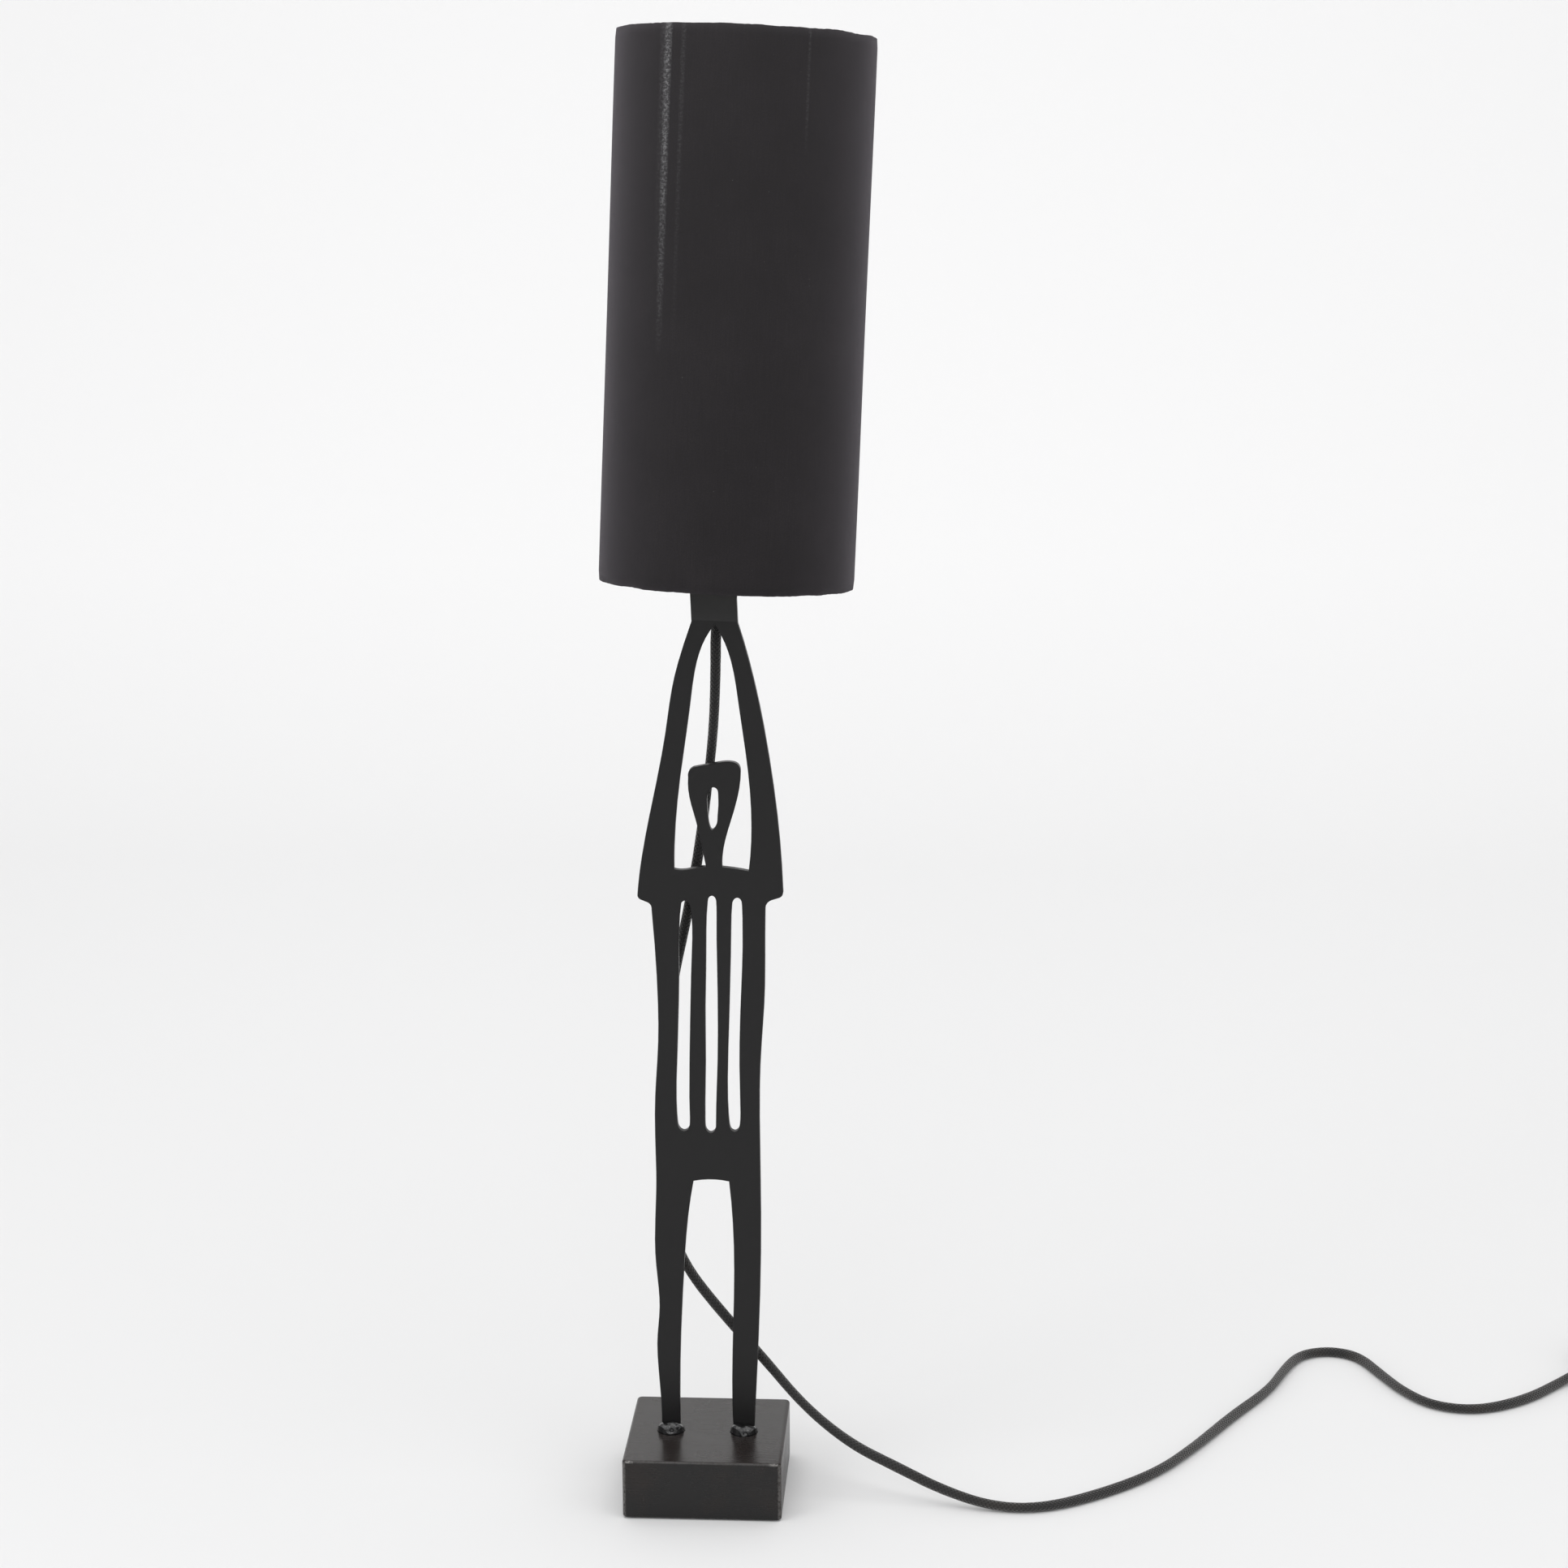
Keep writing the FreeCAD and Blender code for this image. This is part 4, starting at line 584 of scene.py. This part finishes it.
def cloth_drum():
    """Cotton tube with soft, slightly uneven cut rims and an overlapped seam, and the liner inside it."""
    around, up = 240, 60
    seam_width, seam_lift, seam_edge = 0.011, 0.00035, 0.0012
    rim_soft, rim_edge, rim_strip = 0.00045, 0.0012, 0.001
    mesh = bpy.data.meshes.new("shade_cloth")
    bm = bmesh.new()
    uv = bm.loops.layers.uv.new("UVMap")
    outer, inner = [], []
    for j in range(up + 1):
        v = j / up
        row_out, row_in = [], []
        for i in range(around):
            a = 2 * math.pi * i / around
            ragged = 0.0006 * noise.noise(Vector((math.cos(a) * 5, math.sin(a) * 5, 3.0 + round(v)))) \
                + 0.00025 * noise.noise(Vector((math.cos(a) * 31, math.sin(a) * 31, 9.0 + round(v))))
            edge = max(0.0, 1 - min(v, 1 - v) * up / 2)
            z = v * SHADE_HEIGHT + (ragged * edge)
            sway = 0.00022 * noise.noise(Vector((math.cos(a) * 2.2, math.sin(a) * 2.2, z * 9)))
            off = math.atan2(math.sin(a - SEAM_AZIMUTH), math.cos(a - SEAM_AZIMUTH)) * SHADE_RADIUS
            lift = seam_lift * max(0.0, min(1.0, (seam_width / 2 - abs(off)) / seam_edge))
            soft = rim_soft * max(0.0, 1 - min(v, 1 - v) * SHADE_HEIGHT / rim_edge) ** 2
            r = SHADE_RADIUS + sway + lift - soft
            row_out.append(bm.verts.new((r * math.cos(a), r * math.sin(a), z)))
            r_in = SHADE_RADIUS - SHADE_WALL + sway * 0.6 + soft * 0.5
            row_in.append(bm.verts.new((r_in * math.cos(a), r_in * math.sin(a), z)))
        outer.append(row_out)
        inner.append(row_in)

    def quad(a, b, c, d, material, coords):
        face = bm.faces.new((a, b, c, d))
        face.material_index = material
        for loop, at in zip(face.loops, coords):
            loop[uv].uv = at

    turn = 2 * math.pi * SHADE_RADIUS
    for i in range(around):
        k = (i + 1) % around
        u0, u1 = turn * i / around, turn * (i + 1) / around
        for j in range(up):
            v0, v1 = SHADE_HEIGHT * j / up, SHADE_HEIGHT * (j + 1) / up
            quad(outer[j][i], outer[j][k], outer[j + 1][k], outer[j + 1][i], 0,
                 [(u0, v0), (u1, v0), (u1, v1), (u0, v1)])
            quad(inner[j][k], inner[j][i], inner[j + 1][i], inner[j + 1][k], 1,
                 [(u1, v0), (u0, v0), (u0, v1), (u1, v1)])
        quad(inner[0][i], inner[0][k], outer[0][k], outer[0][i], 0,
             [(u0, 0), (u1, 0), (u1, rim_strip), (u0, rim_strip)])
        over = SHADE_HEIGHT + rim_strip
        quad(outer[up][i], outer[up][k], inner[up][k], inner[up][i], 0,
             [(u0, SHADE_HEIGHT), (u1, SHADE_HEIGHT), (u1, over), (u0, over)])
    bm.to_mesh(mesh)
    bm.free()
    mesh.transform(Matrix.Translation(RIM) @ STAND.to_matrix().to_4x4())
    drum = new_object("shade_cloth", mesh, "shade", "shade_cloth", shade_cotton(), shade_lining())
    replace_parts(drum, "shade_drum")


cloth_drum()


# ---- cord ----

FLOOR = 0.0033                                   # height of the cord's centre line on the table
ROUTE = [
    tuple(RELIEF_END),
    tuple(RELIEF_END - AXIS * 0.012),
    (0.0082, 0.0146, 0.5600),
    (0.0080, 0.0142, 0.5300),
    (0.0064, 0.0144, 0.4920),
    (0.0008, 0.0140, 0.4460),
    (-0.0046, 0.0142, 0.4080),
    (-0.0126, 0.0140, 0.3680),
    (-0.0206, 0.0142, 0.3310),
    (-0.0250, 0.0144, 0.2880),
    (-0.0264, 0.0140, 0.2450),
    (-0.0262, 0.0142, 0.2050),
    (-0.0236, 0.0140, 0.1710),
    (-0.0142, 0.0138, 0.1435),
    (0.0100, 0.0130, 0.1120),
    (0.0350, 0.0115, 0.0840),
    (0.0620, 0.0060, 0.0530),
    (0.0920, -0.0060, 0.0335),
    (0.1220, -0.0150, 0.0225),
    (0.1500, -0.0205, 0.0105),
    (0.1820, -0.0280, FLOOR),
    (0.2140, -0.0285, FLOOR),
    (0.2520, -0.0060, FLOOR),
    (0.2880, 0.0260, FLOOR),
    (0.3160, 0.0680, FLOOR),
    (0.3440, 0.1170, FLOOR),
    (0.3720, 0.1600, FLOOR),
    (0.3860, 0.1960, FLOOR),
    (0.3965, 0.2175, FLOOR),
    (0.4075, 0.2268, FLOOR),
    (0.4210, 0.2298, FLOOR),
    (0.4338, 0.2260, FLOOR),
    (0.4430, 0.2160, FLOOR),
    (0.4510, 0.1950, FLOOR),
    (0.4640, 0.1630, FLOOR),
    (0.4820, 0.1400, FLOOR),
    (0.5110, 0.1345, FLOOR),
    (0.5450, 0.1530, FLOOR),
    (0.5740, 0.1840, FLOOR),
]
LEAVES_AT = math.radians(43)                     # the way the cord leaves the view, from +X
HEADING = Vector((math.cos(LEAVES_AT), math.sin(LEAVES_AT), 0))
RIGHT_HAND = Vector((HEADING.y, -HEADING.x, 0))
SWITCH_FROM = Vector((0.602, 0.210, 0.006))
SWITCH_LENGTH = 0.058
SWITCH_TO = SWITCH_FROM + HEADING * SWITCH_LENGTH
COIL_RADIUS, COIL_STEP, COIL_RISE, COIL_TURNS = 0.043, 0.0073, 0.0073, 3.5
COIL_LEAD, PLUG_LEAD, PLUG_HALF = 0.036, 0.032, 0.007
COIL_FROM = Vector((SWITCH_TO.x, SWITCH_TO.y, FLOOR)) + HEADING * COIL_LEAD
COIL_CENTRE = COIL_FROM + RIGHT_HAND * COIL_RADIUS
CORD_WIDE, CORD_THIN = 0.0067, 0.0060         # two cores side by side in one braid


def coil_point(turns):
    """The coil spirals in on the floor, climbs, and spirals out on top."""
    middle, soft = COIL_TURNS / 2, 0.12
    away = math.hypot(turns - middle, soft)
    radius = COIL_RADIUS - COIL_STEP * (math.hypot(middle, soft) - away)
    climb = min(max((turns - middle) / 0.5 + 0.5, 0), 1)
    height = FLOOR + COIL_RISE * climb * climb * (3 - 2 * climb)
    angle = -2 * math.pi * turns
    flat = RIGHT_HAND * (-radius * math.cos(angle)) + HEADING * (-radius * math.sin(angle))
    return Vector((COIL_CENTRE.x + flat.x, COIL_CENTRE.y + flat.y, height))


def cord_points():
    """The route's points, then through the switch, round the coil and straight into the plug."""
    points = [Vector(p) for p in ROUTE]
    into_switch, out_of_switch, into_plug, per_turn = 0.014, 0.012, 0.0066, 16
    points += [SWITCH_FROM - HEADING * into_switch, SWITCH_FROM, SWITCH_TO, SWITCH_TO + HEADING * out_of_switch]
    points += [coil_point(k / per_turn) for k in range(int(COIL_TURNS * per_turn) + 1)]
    leave = coil_point(COIL_TURNS)
    end = leave - HEADING * PLUG_LEAD
    end.z = PLUG_HALF
    points += [end + HEADING * into_plug, end]
    return points


def spline_path(points):
    """Points along one smooth NURBS spline through the route."""
    data = bpy.data.curves.new("cord_line", "CURVE")
    data.dimensions = "3D"
    spline = data.splines.new("NURBS")
    spline.points.add(len(points) - 1)
    for target, point in zip(spline.points, points):
        target.co = (*point, 1)
    spline.order_u = 3
    spline.use_endpoint_u = True
    data.resolution_u = 12
    line = bpy.data.objects.new("cord_line", data)
    bpy.context.scene.collection.objects.link(line)
    bpy.context.view_layer.update()
    sampled = bpy.data.meshes.new_from_object(line)
    path = [v.co.copy() for v in sampled.vertices]
    bpy.data.objects.remove(line)
    bpy.data.curves.remove(data)
    bpy.data.meshes.remove(sampled)
    return path


def evenly(path, step):
    """The same path with points a fixed step apart."""
    total = sum((b - a).length for a, b in zip(path, path[1:]))
    count = max(int(total / step), 2)
    made, gone, k = [path[0].copy()], 0.0, 0
    for i in range(1, count):
        want = total * i / count
        while k < len(path) - 2 and gone + (path[k + 1] - path[k]).length < want:
            gone += (path[k + 1] - path[k]).length
            k += 1
        a, b = path[k], path[k + 1]
        made.append(a.lerp(b, (want - gone) / max((b - a).length, 1e-9)))
    made.append(path[-1].copy())
    return made, total


def cord_tie():
    """Hook-and-loop strap round the coil's four runs, on the side away from the plug."""
    low_runs, high_runs = coil_point(0.25), coil_point(3.25)
    inner_run = coil_point(1.25)
    half_cord, strap_wide, strap_thick, corner, corner_steps = 0.0034, 0.009, 0.0009, 0.0030, 6
    middle = (low_runs + inner_run) / 2
    middle.z = (FLOOR + high_runs.z) / 2
    half_out = (low_runs - inner_run).length / 2 + half_cord
    half_up = (high_runs.z - FLOOR) / 2 + half_cord - strap_thick
    loop = []
    for centre_out, centre_up, start in ((1, 1, 0), (-1, 1, 90), (-1, -1, 180), (1, -1, 270)):
        for k in range(corner_steps + 1):
            a = math.radians(start + 90 / corner_steps * k)
            loop.append((centre_out * (half_out - corner) + corner * math.cos(a),
                         centre_up * (half_up - corner) + corner * math.sin(a), math.cos(a), math.sin(a)))
    bm = bmesh.new()
    rings = []
    for out, up, way_out, way_up in loop:
        ring = []
        for side, thick in ((-1, 0), (1, 0), (1, 1), (-1, 1)):
            at = middle + HEADING * (out + way_out * thick * strap_thick) + RIGHT_HAND * (side * strap_wide / 2)
            at.z += up + way_up * thick * strap_thick
            ring.append(bm.verts.new(at))
        rings.append(ring)
    for near, far in zip(rings, rings[1:] + rings[:1]):
        for i in range(4):
            bm.faces.new((near[i], near[(i + 1) % 4], far[(i + 1) % 4], far[i]))
    bmesh.ops.recalc_face_normals(bm, faces=bm.faces)
    mesh = bpy.data.meshes.new("cord_tie")
    bm.to_mesh(mesh)
    bm.free()
    loops = plain("tie_loops", (0.016, 0.016, 0.017), 0.9, grain=2400.0, depth=0.0002)
    tie = new_object("cord_tie", mesh, "root", "cord_textile", loops)
    mesh.polygons.foreach_set("use_smooth", [False] * len(mesh.polygons))
    return tie


def braided_cord():
    """Oval braided tube along the route; its cores twist round each other once in a while."""
    step, around, twist_every = 0.0012, 20, 0.31
    least, fuzzed, fuzz_grain = 0.98, 0.02, 900
    path, total = evenly(spline_path(cord_points()), step)
    mesh = bpy.data.meshes.new("cord_braid")
    bm = bmesh.new()
    uv = bm.loops.layers.uv.new("UVMap")
    way = (path[1] - path[0]).normalized()
    across = way.orthogonal().normalized()
    rings = []
    for k, point in enumerate(path):
        ahead, behind = path[min(k + 1, len(path) - 1)], path[max(k - 1, 0)]
        new_way = (ahead - behind).normalized()
        across = (way.rotation_difference(new_way) @ across).normalized()
        way = new_way
        upward = way.cross(across)
        turn = 2 * math.pi * k * step / twist_every
        ring = []
        for i in range(around):
            a = 2 * math.pi * i / around
            x, y = CORD_WIDE / 2 * math.cos(a), CORD_THIN / 2 * math.sin(a)
            fuzz = least + fuzzed * noise.noise(point * fuzz_grain + Vector((math.cos(a), math.sin(a), 0)))
            p, q = x * math.cos(turn) - y * math.sin(turn), x * math.sin(turn) + y * math.cos(turn)
            ring.append(bm.verts.new(point + (across * p + upward * q) * fuzz))
        rings.append(ring)
    girth = math.pi * (CORD_WIDE + CORD_THIN) / 2
    for k, (near, far) in enumerate(zip(rings, rings[1:])):
        for i in range(around):
            j = (i + 1) % around
            face = bm.faces.new((near[i], near[j], far[j], far[i]))
            at = [(k, i), (k, i + 1), (k + 1, i + 1), (k + 1, i)]
            for loop, (u, v) in zip(face.loops, at):
                loop[uv].uv = (u * step, girth * v / around)
    bm.faces.new(list(reversed(rings[0])))
    bm.faces.new(rings[-1])
    bm.to_mesh(mesh)
    bm.free()
    cord = new_object("cord_flex", mesh, "root", "cord_textile", braid())
    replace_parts(cord, "cord_run", "cord_coil")
    print("cord length", round(total, 4))
    carried = ["cord_strain_relief", "switch_base", "switch_cover", "switch_rocker", "switch_screws",
               "plug_strain_relief", "plug_body", "plug_pins"]
    [NODES[name] for name in carried] + [cord_tie()]


braided_cord()


# ---- floor, backdrop, light and camera ----

def white_sweep():
    """Seamless white paper: flat under the lamp, curving up behind it."""
    half_width, front, back, bend, top = 4.0, -3.0, 1.6, 1.0, 3.4
    profile = [(front, 0.0), (back, 0.0)]
    profile += [(back + bend * math.sin(a), bend - bend * math.cos(a))
                for a in [math.radians(6 * k) for k in range(1, 16)]]
    profile.append((back + bend, top))
    mesh = bpy.data.meshes.new("paper_sweep")
    verts = [(x, y, z) for y, z in profile for x in (-half_width, half_width)]
    faces = [(2 * k, 2 * k + 1, 2 * k + 3, 2 * k + 2) for k in range(len(profile) - 1)]
    mesh.from_pydata(verts, [], faces)
    mesh.update()
    mesh.polygons.foreach_set("use_smooth", [True] * len(mesh.polygons))
    sweep = bpy.data.objects.new("paper_sweep", mesh)
    bpy.context.scene.collection.objects.link(sweep)
    s = Shader("white_paper", (0.88, 0.88, 0.88), 0.8)
    s.set(Specular_IOR_Level=0.2)
    where = s.coordinates()
    _, y, z = s.node("SeparateXYZ", Vector=where).outputs
    # painted light: the one even paper is painted darker on the floor and lighter up the curve, standing in for
    # how the light falls on it
    painted_light_rise = s.span(s.maths("ADD", y, s.maths("MULTIPLY", z, 1.4)), 0.0, 1.0, 0.1, 2.6)
    tint = s.mix(painted_light_rise, (0.785, 0.785, 0.785), (0.945, 0.944, 0.943))
    grain = s.noise(where, 700.0, 4.0, 0.6)
    mesh.materials.append(s.join(Base_Color=tint, Normal=s.bump(grain, 0.1, 0.00005)))


def area_light(name, where, target, size, power):
    """A white rectangular softbox that faces its target."""
    data = bpy.data.lights.new(name, "AREA")
    data.shape = "RECTANGLE"
    data.size, data.size_y = size
    data.energy = power
    lamp = bpy.data.objects.new(name, data)
    lamp.location = where
    lamp.rotation_euler = (Vector(target) - Vector(where)).to_track_quat("-Z", "Y").to_euler()
    bpy.context.scene.collection.objects.link(lamp)


def studio():
    """A pale surround and four softboxes."""
    scene = bpy.context.scene
    world = bpy.data.worlds.new("studio_white")
    scene.world = world
    world.use_nodes = True
    background = world.node_tree.nodes["Background"]
    background.inputs["Color"].default_value = (0.94, 0.94, 0.945, 1)
    background.inputs["Strength"].default_value = 0.78
    area_light("top_softbox", (0.1, -0.3, 2.6), (0.1, 0.1, 0.3), (2.4, 2.4), 23)
    area_light("left_softbox", (-2.2, -1.6, 1.7), (0, 0, 0.5), (1.4, 2.0), 16)
    area_light("right_softbox", (2.4, -1.2, 1.6), (0.1, 0, 0.4), (1.4, 2.0), 6)
    area_light("front_softbox", (0.0, -2.6, 2.0), (0.0, 0.0, 0.55), (1.5, 0.9), 9)
    scene.view_settings.view_transform = "Standard"


def camera():
    """The photograph's camera, solved from the block's corners and the shade's rims."""
    lens, sensor = 72.893, 36.0
    place = (0.159634, -1.881710, 0.8978)
    scene = bpy.context.scene
    data = bpy.data.cameras.new("photo_camera")
    data.lens, data.sensor_width, data.sensor_height = lens, sensor, sensor
    data.clip_start, data.clip_end = 0.05, 30.0
    made = bpy.data.objects.new("photo_camera", data)
    pan, tilt, roll = math.radians(3.324), math.radians(90 - 12.979), math.radians(-0.192)
    turn = Matrix.Rotation(pan, 4, "Z") @ Matrix.Rotation(tilt, 4, "X") @ Matrix.Rotation(roll, 4, "Z")
    made.matrix_world = Matrix.Translation(place) @ turn
    scene.collection.objects.link(made)
    scene.camera = made


white_sweep()
studio()
camera()
